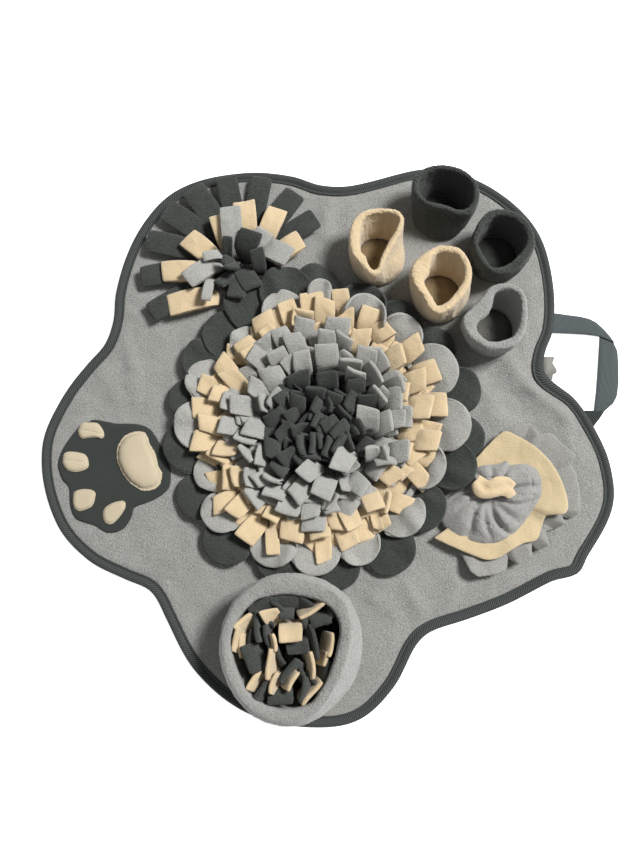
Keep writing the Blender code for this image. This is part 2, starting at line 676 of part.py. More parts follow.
def smooth_outline(rows, x, y, per_span=2):
    """Closed Catmull-Rom curve through the rows of an outline."""
    count = len(rows)
    points = []
    for i in range(count):
        p0, p1, p2, p3 = (Vector(rows[(i + step) % count]) for step in (-1, 0, 1, 2))
        for step in range(per_span):
            t = step / per_span
            spot = 0.5 * (2 * p1 + (p2 - p0) * t + (2 * p0 - 5 * p1 + 4 * p2 - p3) * t**2
                          + (3 * p1 - p0 - 3 * p2 + p3) * t**3)
            points.append((x + spot.x, y + spot.y))
    return points


def stuffed_pad(name, x, y, length, width, turn, low, crown, notch, parts, material, steps=20):
    """Small stuffed pad: a flat sewn rim and a crowned top, dented on one side by notch."""
    shape = [(1.0, 0.0), (1.0, PAD_RIM), (0.86, crown * 0.7), (0.5, crown)]
    rings = []
    for share, height in shape:
        ring = []
        for i in range(steps):
            angle = 2 * math.pi * i / steps
            dent = 1.0 - notch * math.exp(-(((angle - math.pi) / 0.5) ** 2))
            spot = Vector((length / 2 * math.cos(angle) * dent, width / 2 * math.sin(angle), 0.0))
            spot = Matrix.Rotation(math.radians(turn), 3, "Z") @ (spot * share)
            ring.append(Vector((x + spot.x, y + spot.y, low + height)))
        rings.append(ring)
    bm = bmesh.new()
    loft(bm, rings)
    make_object(name, bm, parts, material)


def make_paw(parts, colours):
    patch = outline_slab(smooth_outline(PAW_OUTLINE, PAW_X, PAW_Y), ON_MAT, ON_MAT + PLY)
    make_object("paw_patch", patch, parts, colours["dark_fleece"])
    low = ON_MAT + PLY + GAP
    for name, x, y, length, width, turn in PAW_TOES:
        stuffed_pad(name, PAW_X + x, PAW_Y + y, length, width, turn, low, TOE_CROWN, 0.0, parts,
                    colours["cream_fleece"], steps=14)
    x, y, length, width, turn = PAW_PAD
    stuffed_pad("paw_pad", PAW_X + x, PAW_Y + y, length, width, turn, low, PAD_CROWN,
                PAW_PAD_NOTCH, parts, colours["cream_fleece"])


def make_strap(parts, material):
    """Flat webbing loop, folded over at its corners and sewn in under the binding."""
    sections = []
    for outer_x, outer_y, inner_x, inner_y, plies in STRAP_STATIONS:
        top = STRAP_PLY * plies
        sections.append([Vector((inner_x, inner_y, 0.0)), Vector((outer_x, outer_y, 0.0)),
                         Vector((outer_x, outer_y, top)), Vector((inner_x, inner_y, top))])
    bm = bmesh.new()
    loft(bm, sections)
    make_object("carry_strap", bm, parts, material)


def make_tab(parts, material):
    tab = outline_slab(TAB_OUTLINE, TAB_LOW, TAB_LOW + TAB_THICK)
    make_object("edge_tab", tab, parts, material)


def main():
    reset_scene()
    parts = new_collection("snuffle_mat")
    guides = new_collection("guides")
    colours = {
        "grey_fleece": fabric("grey_fleece", GREY),
        "dark_fleece": fabric("dark_fleece", DARK),
        "cream_fleece": fabric("cream_fleece", CREAM),
        "edge_tape": fabric("edge_tape", TAPE, 0.85),
        "strap_webbing": fabric("strap_webbing", STRAP, 0.75),
        "tab_vinyl": fabric("tab_vinyl", BUFF, 0.6),
    }
    make_mat(parts, colours["grey_fleece"])
    make_binding(parts, colours["edge_tape"])
    make_flower(parts, guides, colours)
    make_fan(parts, guides, colours)
    make_cups(parts, colours)
    make_bucket(parts, guides, colours)
    make_rosette(parts, colours)
    make_paw(parts, colours)
    make_strap(parts, colours["strap_webbing"])
    make_tab(parts, colours["tab_vinyl"])


main()
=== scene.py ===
import math
import random

import bmesh
import bpy
from mathutils import Matrix, Vector, noise


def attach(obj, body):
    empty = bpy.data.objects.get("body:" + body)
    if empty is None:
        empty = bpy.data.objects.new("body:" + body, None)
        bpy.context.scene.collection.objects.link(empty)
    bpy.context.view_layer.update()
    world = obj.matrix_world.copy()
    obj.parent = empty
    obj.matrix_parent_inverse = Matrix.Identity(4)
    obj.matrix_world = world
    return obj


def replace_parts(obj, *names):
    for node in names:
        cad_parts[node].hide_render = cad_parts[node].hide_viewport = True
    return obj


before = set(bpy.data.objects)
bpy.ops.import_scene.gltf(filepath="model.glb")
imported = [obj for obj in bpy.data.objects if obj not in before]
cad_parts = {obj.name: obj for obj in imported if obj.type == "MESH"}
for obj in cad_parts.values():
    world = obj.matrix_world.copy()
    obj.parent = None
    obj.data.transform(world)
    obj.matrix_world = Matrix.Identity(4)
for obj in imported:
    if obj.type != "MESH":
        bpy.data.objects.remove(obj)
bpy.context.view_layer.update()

MM = 0.001


# ---------------------------------------------------------------- camera
# It stands over the mat, a little towards the bucket, and looks down at 80 degrees.
CAMERA_SPOT = (0.0, -0.19062, 1.13413)
CAMERA_TILT = 10.0  # degrees off straight down
LENS = 26.35
SENSOR_HEIGHT = 24.0

lens = bpy.data.cameras.new("camera")
lens.sensor_fit = "VERTICAL"
lens.sensor_height = SENSOR_HEIGHT
lens.lens = LENS
camera = bpy.data.objects.new("camera", lens)
camera.location = CAMERA_SPOT
camera.rotation_euler = (math.radians(CAMERA_TILT), 0.0, 0.0)
bpy.context.scene.collection.objects.link(camera)
bpy.context.scene.camera = camera


# ---------------------------------------------------------------- floor and light
# A plain pale floor, one broad soft lamp up to the right and light from all round.
FLOOR_HALF = 6.0
FLOOR_COLOUR = (0.96, 0.96, 0.955)
FLOOR_ROUGHNESS = 0.9
FLOOR_GLOW = 0.78
SKY_STRENGTH = 0.22
WHITE = (1.0, 1.0, 1.0, 1.0)
LIGHTS = [  # name, spot, size, watts
    ("lamp", Vector((2.75, 1.35, 4.0)), 1.25, 372.0),
    ("fill", Vector((-1.2, -0.9, 2.0)), 2.0, 5.0),
]

floor_mesh = bpy.data.meshes.new("floor")
corners = [(-FLOOR_HALF, -FLOOR_HALF), (FLOOR_HALF, -FLOOR_HALF), (FLOOR_HALF, FLOOR_HALF),
           (-FLOOR_HALF, FLOOR_HALF)]
floor_mesh.from_pydata([(x, y, 0.0) for x, y in corners], [], [(0, 1, 2, 3)])
floor = bpy.data.objects.new("floor", floor_mesh)
bpy.context.scene.collection.objects.link(floor)
floor_finish = bpy.data.materials.new("floor")
floor_finish.use_nodes = True
sockets = floor_finish.node_tree.nodes["Principled BSDF"].inputs
sockets["Base Color"].default_value = (*FLOOR_COLOUR, 1.0)
sockets["Roughness"].default_value = FLOOR_ROUGHNESS
sockets["Emission Color"].default_value = WHITE
sockets["Emission Strength"].default_value = FLOOR_GLOW
floor_mesh.materials.append(floor_finish)

sky = bpy.data.worlds.new("sky")
sky.use_nodes = True
sockets = sky.node_tree.nodes["Background"].inputs
sockets["Color"].default_value = WHITE
sockets["Strength"].default_value = SKY_STRENGTH
bpy.context.scene.world = sky
bpy.context.scene.view_settings.view_transform = "Standard"

for name, spot, size, watts in LIGHTS:
    light = bpy.data.lights.new(name, "AREA")
    light.size = size
    light.energy = watts
    lamp = bpy.data.objects.new(name, light)
    lamp.location = spot
    lamp.rotation_euler = (-spot).to_track_quat("-Z", "Y").to_euler()
    bpy.context.scene.collection.objects.link(lamp)


# ---------------------------------------------------------------- mat
# Two layers of light grey fleece over a thin filling, cut to five unlike lobes.
# It lies flat; its rim lifts a little in the valleys and the cloth is softly uneven.
MAT_THICK = 4.0
OUTLINE = [  # bearing in degrees from +X, radius
    (1, 337), (8, 316), (12.5, 293), (15.5, 286), (20, 297), (24, 318),
    (35, 357), (43, 380), (51, 388), (60, 386), (67, 376), (78, 337),
    (84, 323), (90, 323), (96, 337), (106, 354), (120, 366), (130, 352),
    (145, 313), (151, 295), (157, 290), (163, 301), (172, 321), (183, 340),
    (199, 336), (209, 317), (217, 292), (223.5, 277), (231, 288), (243, 319),
    (256, 341), (270, 346), (278, 340), (286, 313), (293.5, 279), (299, 271),
    (308, 283), (317, 302), (327, 328), (331, 350), (335, 353), (346, 365),
    (354, 355),
]
EDGE_LIFTS = [  # bearing, half width in degrees, height off the floor
    (17, 9, 2.5), (86, 9, 2.0), (153, 9, 3.0), (223, 7, 2.0), (297, 9, 2.5), (329, 6, 6.0),
]
LIFT_START = 0.9  # share of the way out where the rim begins to lift
LIFT_FULL = 0.97
EDGE_STEPS = 360
MAT_RINGS = 44
RING_CROWDING = 0.8  # below 1, the rings crowd towards the rim
MAT_INSET = 1.3  # the cloth ends this far inside the tape's fold
UNDER_INSET = 16.0
TAPE_PRESS = 1.7  # how far the tape presses the cloth down
TAPE_REACH = (13.5, 4.0)  # how far in it presses, and the width over which that begins
EVEN_RIM = (11.0, 16.0)  # how far in the unevenness begins, and the width over which it grows
MAT_HOLLOW = 2.6  # no dip goes deeper
MAT_WAVE = 1.3
MAT_FOLDS = [  # x, y and x, y of the two ends, half width, height
    (226, 100, 260, 54, 9, 5.2), (260, 54, 304, 20, 9, 5.2), (206, 84, 238, 36, 9, -2.4),
    (238, 36, 264, 2, 9, -2.4), (194, 60, 220, 14, 9, 2.8), (250, 142, 257, 100, 6, 3.0),
    (262, 176, 266, 140, 7, 2.0), (300, 2, 316, -40, 10, 2.6), (-242, 116, -232, 84, 6, 3.8),
    (-232, 84, -227, 44, 8, 2.6), (-262, 152, -212, 146, 8, 2.6), (-284, 88, -250, 44, 9, 2.4),
    (-236, 176, -190, 168, 8, 1.8), (14, 304, 4, 258, 8, 3.0), (46, 292, 36, 270, 6, 2.4),
    (-192, -174, -156, -140, 9, 3.0), (122, -222, 104, -186, 8, 3.2), (148, -210, 162, -180, 7, 2.6),
    (-66, 306, -150, 290, 8, 2.0), (196, -196, 246, -176, 8, 1.8), (60, -196, 92, -222, 8, 2.2),
]
GREY = (0.313, 0.312, 0.294)


def ease(share):
    """Soft step from 0 to 1."""
    share = min(max(share, 0.0), 1.0)
    return share * share * (3.0 - 2.0 * share)


def bump_at(bearing, centre, half_width):
    """A soft bump of height 1 round a bearing."""
    away = (bearing - centre + 180.0) % 360.0 - 180.0
    return math.exp(-((away / half_width) ** 2))


def outline_radius(bearing):
    """Smooth closed curve through the outline's radii."""
    count = len(OUTLINE)
    first = OUTLINE[0][0]
    bearing = (bearing - first) % 360.0 + first
    index = max(i for i in range(count) if OUTLINE[i][0] <= bearing)

    def knot(i):
        turns, place = divmod(i, count)
        return OUTLINE[place][0] + turns * 360.0, OUTLINE[place][1]

    (b0, r0), (b1, r1), (b2, r2), (b3, r3) = (knot(index + step) for step in (-1, 0, 1, 2))
    gap = b2 - b1
    t = (bearing - b1) / gap
    slope_1 = (r2 - r0) / (b2 - b0) * gap
    slope_2 = (r3 - r1) / (b3 - b1) * gap
    return ((2 * t**3 - 3 * t**2 + 1) * r1 + (t**3 - 2 * t**2 + t) * slope_1
            + (3 * t**2 - 2 * t**3) * r2 + (t**3 - t**2) * slope_2)


def polar(radius, bearing, x=0.0, y=0.0, z=0.0):
    """The spot at a radius and a bearing in degrees from x, y."""
    angle = math.radians(bearing)
    return Vector((x + radius * math.cos(angle), y + radius * math.sin(angle), z))


def edge_lift(bearing):
    """How far the rim has lifted off the floor."""
    return sum(height * bump_at(bearing, centre, half) for centre, half, height in EDGE_LIFTS)


edge_bearings = [360.0 * step / EDGE_STEPS for step in range(EDGE_STEPS)]
edge_points = [polar(outline_radius(b), b) for b in edge_bearings]
edge_inward = []
for step in range(EDGE_STEPS):
    along = edge_points[(step + 2) % EDGE_STEPS] - edge_points[step - 2]
    edge_inward.append(Vector((-along.y, along.x, 0.0)).normalized())


def edge_ring(inset, height):
    """Points of the outline moved in by inset, riding on the lifted rim."""
    ring = []
    for bearing, rim, inward in zip(edge_bearings, edge_points, edge_inward):
        spot = rim + inward * inset
        rise = edge_lift(bearing) * ease((spot.length / rim.length - LIFT_START) / (LIFT_FULL - LIFT_START))
        ring.append(Vector((spot.x, spot.y, height + rise)))
    return ring


def skin(bm, rings, around=True, closed=False, capped=False, uv=None, place=None):
    """Quads between rows of points.

    Around joins each row's ends, closed joins the last row to the first and capped fills both
    ends. Place gives a point's spot on the cloth map, from its column and its row.
    """
    rows = [[bm.verts.new(point) for point in ring] for ring in rings]
    pairs = list(zip(rows, rows[1:]))
    if closed:
        pairs.append((rows[-1], rows[0]))
    count = len(rows[0])
    for level, (lower, upper) in enumerate(pairs):
        for i in range(count if around else count - 1):
            j = (i + 1) % count
            face = bm.faces.new((lower[i], lower[j], upper[j], upper[i]))
            if place:
                corners = ((i, level), (i + 1, level), (i + 1, level + 1), (i, level + 1))
                for loop, corner in zip(face.loops, corners):
                    loop[uv].uv = place(*corner)
    if capped:
        bm.faces.new(list(reversed(rows[0])))
        bm.faces.new(rows[-1])
    return rows


def make_piece(name, bm, material, thickness=0.0, offset=0.0, levels=0):
    """An object from a bmesh in millimetres, with its thickness and smoothing added."""
    bmesh.ops.recalc_face_normals(bm, faces=bm.faces)
    bmesh.ops.scale(bm, vec=(MM, MM, MM), verts=bm.verts)
    mesh = bpy.data.meshes.new(name)
    bm.to_mesh(mesh)
    bm.free()
    mesh.polygons.foreach_set("use_smooth", [True] * len(mesh.polygons))
    piece = bpy.data.objects.new(name, mesh)
    bpy.context.scene.collection.objects.link(piece)
    if thickness:
        shell = piece.modifiers.new("thickness", "SOLIDIFY")
        shell.thickness = thickness * MM
        shell.offset = offset
    if levels:
        smooth = piece.modifiers.new("smooth", "SUBSURF")
        smooth.levels = levels
        smooth.render_levels = levels
    mesh.materials.append(material)
    return piece


def wave(x, y, pitch, seed=0.0):
    """Smooth unevenness between about -1 and 1; pitch is its size in millimetres."""
    return noise.noise(Vector((x / pitch, y / pitch, seed)))


def fold_height(spot, folds):
    """Height added at a spot by soft ridges that run between pairs of points."""
    rise = 0.0
    for x0, y0, x1, y1, half, height in folds:
        along = Vector((x1 - x0, y1 - y0))
        away = Vector((spot.x - x0, spot.y - y0))
        share = min(max(away.dot(along) / along.length_squared, 0.0), 1.0)
        gap = (away - along * share).length
        rise += height * math.exp(-((gap / half) ** 2))
    return rise


def cloth_shader(name, roughness, gloss, sheen):
    """A material, its node tree and its shader with their plain settings."""
    material = bpy.data.materials.new(name)
    material.use_nodes = True
    shader = material.node_tree.nodes["Principled BSDF"]
    shader.inputs["Roughness"].default_value = roughness
    shader.inputs["Specular IOR Level"].default_value = gloss
    shader.inputs["Sheen Weight"].default_value = sheen
    return material, material.node_tree, shader


def mottle(tree, place, scale, detail, roughness=0.5, distortion=0.0):
    """Noise that keeps to the piece itself."""
    texture = tree.nodes.new("ShaderNodeTexNoise")
    texture.inputs["Scale"].default_value = scale
    texture.inputs["Detail"].default_value = detail
    texture.inputs["Roughness"].default_value = roughness
    texture.inputs["Distortion"].default_value = distortion
    tree.links.new(place.outputs["Object"], texture.inputs["Vector"])
    return texture.outputs["Fac"]


def two_tones(tree, source, low, high, span=(0.0, 1.0)):
    """Colour that goes from low to high where the source goes through its span."""
    ramp = tree.nodes.new("ShaderNodeValToRGB")
    for stop, position, colour in zip(ramp.color_ramp.elements, span, (low, high)):
        stop.position = position
        stop.color = (*colour, 1.0)
    tree.links.new(source, ramp.inputs["Fac"])
    return ramp.outputs["Color"]


def relief(tree, source, strength, distance, below=None):
    """Fine relief, laid over the relief below it."""
    bump = tree.nodes.new("ShaderNodeBump")
    bump.inputs["Strength"].default_value = strength
    bump.inputs["Distance"].default_value = distance
    tree.links.new(source, bump.inputs["Height"])
    if below:
        tree.links.new(below, bump.inputs["Normal"])
    return bump.outputs["Normal"]


def fleece(name, colour, grain=0.5, pill=1.0, fuzz=0.35, pitch=1.4, crease=3.4):
    """Polar fleece: short matted fibres, a mottled grain of small pills and a soft halo.

    Grain is how strongly the colour is mottled, pill how far the pills stand out, fuzz the
    halo, pitch the pills' size and crease the depth of soft creases, both in millimetres.
    """
    material, tree, shader = cloth_shader(name, roughness=0.96, gloss=0.1, sheen=fuzz)
    shader.inputs["Sheen Roughness"].default_value = 0.6
    place = tree.nodes.new("ShaderNodeTexCoord")
    pills = mottle(tree, place, scale=1000.0 / pitch, detail=3.0, roughness=0.62)
    fibres = mottle(tree, place, scale=1700.0, detail=2.0, distortion=0.8)
    cloud = mottle(tree, place, scale=22.0, detail=2.0)
    creases = mottle(tree, place, scale=60.0, detail=0.8, roughness=0.4, distortion=0.3)
    low = [c * (1.0 - 0.45 * grain) for c in colour]
    high = [min(c * (1.0 + 0.30 * grain), 1.0) for c in colour]
    mix = tree.nodes.new("ShaderNodeMix")
    mix.data_type = "RGBA"
    mix.blend_type = "MULTIPLY"
    mix.inputs["Factor"].default_value = 1.0
    tone = two_tones(tree, pills, low, high, span=(0.32, 0.66))
    shade = two_tones(tree, cloud, (0.90, 0.90, 0.89), (1.0, 1.0, 1.0), span=(0.3, 0.7))
    tree.links.new(tone, mix.inputs["A"])
    tree.links.new(shade, mix.inputs["B"])
    tree.links.new(mix.outputs["Result"], shader.inputs["Base Color"])
    soft = relief(tree, creases, strength=0.8, distance=crease * MM)
    coarse = relief(tree, pills, strength=0.9 * pill, distance=0.00105 * pitch, below=soft)
    fine = relief(tree, fibres, strength=0.35, distance=0.0004, below=coarse)
    tree.links.new(fine, shader.inputs["Normal"])
    return material


FLEECES = {"mat": fleece("grey_cloth", GREY, grain=0.65, pill=1.4, pitch=1.8, crease=2.5)}

bm = bmesh.new()
mat_rings = []
for number in range(1, MAT_RINGS + 1):
    share = (number / MAT_RINGS) ** RING_CROWDING
    ring = []
    for spot in edge_ring(MAT_INSET, MAT_THICK):
        flat = spot * share
        swell = MAT_WAVE * (wave(flat.x, flat.y, 60.0) + 0.6 * wave(flat.x, flat.y, 23.0, 4.0))
        swell = max(swell + fold_height(flat, MAT_FOLDS), -MAT_HOLLOW)
        rim_gap = spot.length * (1.0 - share)
        fade = ease((rim_gap - EVEN_RIM[0]) / EVEN_RIM[1])
        pressed = TAPE_PRESS * ease((TAPE_REACH[0] - rim_gap) / TAPE_REACH[1])
        lift = (spot.z - MAT_THICK) * ease((share - LIFT_START) / (1.0 - LIFT_START))
        ring.append(Vector((flat.x, flat.y, MAT_THICK + swell * fade + lift - pressed)))
    mat_rings.append(ring)
under_rim = [Vector((p.x, p.y, max(0.0, p.z - MAT_THICK))) for p in mat_rings[-1]]
rows = skin(bm, mat_rings + [under_rim, edge_ring(UNDER_INSET, 0.0)])
crown = bm.verts.new((0.0, 0.0, MAT_THICK))
for i in range(EDGE_STEPS):
    bm.faces.new((rows[0][(i + 1) % EDGE_STEPS], rows[0][i], crown))
bm.faces.new(rows[-1])
mat = make_piece("mat", bm, FLEECES["mat"])
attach(mat, "root")
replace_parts(mat, "mat_base")


# ---------------------------------------------------------------- binding
# Dark twill tape folded over the whole edge and sewn down along its inner side.
# Its ends lap where the edge steps in beside the rosette.
TAPE = (0.038, 0.043, 0.041)
TAPE_SECTION = [  # inset, height
    (12.6, -0.02), (6.0, -0.02), (1.2, 0.0), (0.2, 1.1), (0.0, 2.8), (0.4, 4.3), (1.6, 5.5),
    (3.4, 6.0), (5.4, 5.9), (7.2, 5.2), (8.6, 4.0), (9.6, 3.3), (10.4, 3.7), (11.6, 4.9), (12.9, 4.7),
]
TAPE_LAP = (14.5, 4.0, 2.6)  # bearing, half width and how far the lapped ends stand out
LAP_FADE = (9.0, 6.0)  # the lap is gone this far in, over this width
TAPE_PLY = 0.6
TAPE_PUCKER = 0.22
TAPE_SAG = 0.3
TWILL_PITCH = 2.5
TWILL_SLANT = 38.0


def edge_lengths(points):
    """Way along a closed row of points, at each of them and back at the first."""
    total = 0.0
    lengths = [0.0]
    for a, b in zip(points, points[1:] + points[:1]):
        total += (b - a).length
        lengths.append(total)
    return lengths


def twill(name, colour, pitch, slant):
    """Woven tape with slanting ribs, laid out by the UV map in millimetres."""
    material, tree, shader = cloth_shader(name, roughness=0.82, gloss=0.3, sheen=0.05)
    place = tree.nodes.new("ShaderNodeTexCoord")
    turn = tree.nodes.new("ShaderNodeMapping")
    turn.inputs["Rotation"].default_value = (0.0, 0.0, math.radians(slant))
    tree.links.new(place.outputs["UV"], turn.inputs["Vector"])
    ribs = tree.nodes.new("ShaderNodeTexWave")
    ribs.inputs["Scale"].default_value = 2.0 * math.pi / (20.0 * pitch)
    ribs.inputs["Distortion"].default_value = 0.7
    ribs.inputs["Detail"].default_value = 1.0
    ribs.inputs["Detail Scale"].default_value = 3.0
    tree.links.new(turn.outputs["Vector"], ribs.inputs["Vector"])
    groove, rib = ([c * share for c in colour] for share in (0.45, 1.75))
    tree.links.new(two_tones(tree, ribs.outputs["Color"], groove, rib), shader.inputs["Base Color"])
    lay = relief(tree, ribs.outputs["Color"], strength=0.6, distance=0.0004)
    tree.links.new(lay, shader.inputs["Normal"])
    return material


edge_tape = twill("tape_cloth", TAPE, TWILL_PITCH, TWILL_SLANT)
rim_lengths = edge_lengths(edge_points)
bm = bmesh.new()
uv = bm.loops.layers.uv.new("UVMap")
tape_rings = []
for inset, height in TAPE_SECTION:
    ring = edge_ring(inset, height)
    for spot, bearing, inward in zip(ring, edge_bearings, edge_inward):
        fade = ease((LAP_FADE[0] - inset) / LAP_FADE[1])
        spot -= inward * TAPE_LAP[2] * bump_at(bearing, *TAPE_LAP[:2]) * fade
        pucker = TAPE_PUCKER * wave(spot.x, spot.y, 7.0, 2.0) + TAPE_SAG * wave(spot.x, spot.y, 30.0, 3.0)
        spot.z += pucker * ease(height / 4.0)
    tape_rings.append(ring)
across = [0.0]
for (a, b), (c, d) in zip(TAPE_SECTION, TAPE_SECTION[1:]):
    across.append(across[-1] + math.hypot(c - a, d - b))
skin(bm, tape_rings, uv=uv, place=lambda step, row: (rim_lengths[step], across[row]))
binding = make_piece("binding", bm, edge_tape, thickness=TAPE_PLY, offset=-1.0)
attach(binding, "root")
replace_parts(binding, "edge_binding")


# ---------------------------------------------------------------- petals
# Rounded tongues of fleece in two rings, dark below and light grey above.
# Each is sewn down at its root, tipped like a fan blade and laps over the next.
ON_MAT = 4.3  # what is sewn on begins at this height
BACKING = 2.0
BACKING_GAP = 0.3
BACKING_STEPS = 40
BACKING_HOLE = 0.5
FLOWER = Vector((-1.0, 7.0, 0.0))
DARK_PETALS = [  # bearing, reach, width, tip lift
    (358, 202, 56, 8), (15, 204, 56, 4), (36, 198, 60, 8), (54, 190, 62, 12), (70, 190, 60, 12),
    (89, 204, 60, 6), (104, 208, 62, 9), (119, 210, 64, 8), (135, 192, 62, 8), (152, 192, 56, 4),
    (169, 188, 60, 4), (190, 190, 66, 5), (210, 195, 58, 2), (231, 206, 62, 4), (254, 196, 64, 6),
    (277, 198, 62, 3), (299, 202, 68, 5), (323, 188, 64, 15), (343, 198, 62, 17),
]
LIGHT_PETALS = [
    (2, 188, 62, 9), (24, 190, 64, 9), (47, 182, 56, 12), (69, 180, 54, 16), (90, 188, 30, 16),
    (107, 180, 56, 2), (133, 159, 44, 3), (159, 176, 54, 0), (181, 179, 60, 3), (204, 165, 46, 0),
    (222, 182, 56, 2), (248, 182, 60, 0), (268, 184, 58, 4), (286, 177, 54, 2), (311, 177, 60, 9),
    (339, 167, 58, 13),
]
PETAL_CURLS = [  # bearing, half width, how far the sides curl up there
    (47, 8, 13), (69, 6, 22), (24, 7, 4), (338, 6, 4), (315, 6, 3), (230, 9, 3), (104, 8, 4), (122, 8, 5),
]
DARK_LEANS = [(0.0, 90), (0.3, 71), (0.6, 88), (0.85, 97), (1.0, 99)]
LIGHT_LEANS = [(0.0, 54), (0.3, 59), (0.6, 85), (0.85, 96), (1.0, 100)]
PETAL_WIDTHS = [(0.0, 0.5), (0.3, 0.86), (0.6, 1.0), (0.85, 1.0), (1.0, 0.94)]
DARK_RING = (132.5, 147.0)  # inner and outer radius of the backing
LIGHT_RING = (132.5, 141.0)
PETAL_PLY = 3.4
PETAL_INSET = 4.0  # from the backing's outer edge in to the roots
PETAL_SLACK = 1.03
ROOT_LIFT = 1.8
PETAL_FLUTTER = 4.6
PETAL_FOLD = 9.0  # height of the highest fold
FOLD_HALF = 0.2  # half width of a fold, as a share of the petal's
FOLD_START = 0.55  # share of the length over which a fold rises
PETAL_TRIM = 0.05
PETAL_ROLL = 4.5
PETAL_STEPS = 10
PETAL_ACROSS = 7
PETAL_ROUND = 0.42
DARK = (0.044, 0.050, 0.044)
LIGHT = (0.385, 0.381, 0.354)
UP = Vector((0.0, 0.0, 1.0))


def read_line(rows, share):
    """Straight interpolation in a table of share and value."""
    for (s0, v0), (s1, v1) in zip(rows, rows[1:]):
        if share <= s1:
            return v0 + (v1 - v0) * (share - s0) / (s1 - s0)
    return rows[-1][1]


def first_third(share):
    """Grows from 0 to 1 over the first third of a strip."""
    return min(share * 3.0, 1.0)


def spine(root, heading, length, leans, steps, yaw=0.0, roll=0.0):
    """Frames (spot, across, face) along a strip that rises from its root and bends over.

    Leans are rows of share of the length and degrees off the vertical.
    """
    out = polar(1.0, heading)
    side = polar(1.0, heading + 90.0 + yaw)
    spot = Vector(root)
    frames = []
    for step in range(steps + 1):
        share = step / steps
        if step:
            slope = math.radians(read_line(leans, share - 0.5 / steps))
            spot = spot + (out * math.sin(slope) + UP * math.cos(slope)) * length / steps
        slope = math.radians(read_line(leans, share))
        along = out * math.sin(slope) + UP * math.cos(slope)
        across = (side - along * side.dot(along)).normalized()
        across = Matrix.Rotation(math.radians(roll * first_third(share)), 3, along) @ across
        frames.append((spot, across, along.cross(across)))
    return frames


def frame_at(frames, share):
    """The frame at a share of the strip's length."""
    place = min(max(share, 0.0), 1.0) * (len(frames) - 1)
    index = min(int(place), len(frames) - 2)
    part = place - index
    return [a.lerp(b, part) for a, b in zip(frames[index], frames[index + 1])]


def petal(bm, frames, length, width, curl, fold, seed):
    """One rounded tongue laid along a spine, curled at its sides, with a soft fold along it.

    Fold is its height and how far off the middle line it runs.
    """
    rows = []
    for step in range(PETAL_STEPS + 1):
        u = step / PETAL_STEPS
        row = []
        for j in range(-PETAL_ACROSS, PETAL_ACROSS + 1):
            turn = j / PETAL_ACROSS * math.pi / 2
            back = u * PETAL_ROUND * width * (1.0 - math.cos(turn)) / length
            spot, across, face = frame_at(frames, u - back)
            trim = 1.0 + PETAL_TRIM * wave(j * 5.0, u * 30.0, 9.0, seed) * u
            aside = width / 2 * read_line(PETAL_WIDTHS, u) * math.sin(turn) * trim
            x, y = spot.x + across.x * aside, spot.y + across.y * aside
            flutter = PETAL_FLUTTER * wave(x, y, 30.0, seed) * u
            lift = curl * (u * math.sin(turn)) ** 2
            off_fold = (j / PETAL_ACROSS - fold[1]) / FOLD_HALF
            lift += fold[0] * math.exp(-off_fold ** 2) * ease(u / FOLD_START)
            row.append(spot + across * aside + face * (lift + flutter))
        rows.append(row)
    skin(bm, rows, around=False)


def backing_ring(bm, inner, outer, height, centre):
    """Flat ring of cloth that strips are sewn to; inner 0 makes a disc."""
    bearings = [360.0 * i / BACKING_STEPS for i in range(BACKING_STEPS)]
    radii = (max(inner, BACKING_HOLE), (inner + outer) / 2, outer)
    skin(bm, [[polar(r, bearing, centre.x, centre.y, height) for bearing in bearings] for r in radii])


def sew_strips(name, bm, slot, node, ply, cloth=None):
    """One piece of all the cut cloth in a mesh, given its ply and smoothing."""
    piece = make_piece(name, bm, FLEECES[cloth or slot], thickness=ply, levels=1)
    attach(piece, "root")
    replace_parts(piece, node)


def petal_ring(name, rows, low, ring, leans, seed, slot, node):
    """One ring of petals on its backing."""
    chance = random.Random(seed)
    bm = bmesh.new()
    backing_ring(bm, ring[0], ring[1], low + BACKING / 2, FLOWER)
    root_radius = ring[1] - PETAL_INSET
    for bearing, reach, width, tip_lift in rows:
        length = (reach - root_radius) * PETAL_SLACK
        rise = math.degrees(math.atan2(tip_lift, length))
        lifted = [(share, lean - rise * first_third(share)) for share, lean in leans]
        at = bearing + chance.uniform(-2.0, 2.0)
        root = polar(root_radius, at, FLOWER.x, FLOWER.y, low + ROOT_LIFT)
        heading = bearing + chance.uniform(-7.0, 7.0)
        frames = spine(root, heading, length * chance.uniform(0.97, 1.02), lifted, PETAL_STEPS,
                       yaw=chance.uniform(-9, 9), roll=PETAL_ROLL + chance.uniform(-3.0, 4.5))
        curl = chance.uniform(-2.0, 5.0)
        curl += sum(lift * bump_at(bearing, b, half) for b, half, lift in PETAL_CURLS)
        fold = (chance.uniform(0.0, PETAL_FOLD), chance.uniform(-0.6, 0.6))
        petal(bm, frames, length, width * chance.uniform(0.95, 1.04), curl, fold, chance.uniform(0, 50))
    sew_strips(name, bm, slot, node, PETAL_PLY)


FLEECES["dark_fleece"] = fleece("dark_cloth", DARK, grain=0.85, pill=1.3, fuzz=0.16, pitch=1.8)
FLEECES["grey_fleece"] = fleece("light_cloth", LIGHT, grain=0.42, pill=1.3, pitch=1.7)
petal_ring("dark_petals", DARK_PETALS, ON_MAT, DARK_RING, DARK_LEANS, 31, "dark_fleece", "petals_dark")
petal_ring("light_petals", LIGHT_PETALS, ON_MAT + BACKING + BACKING_GAP, LIGHT_RING, LIGHT_LEANS, 32,
           "grey_fleece", "petals_light")


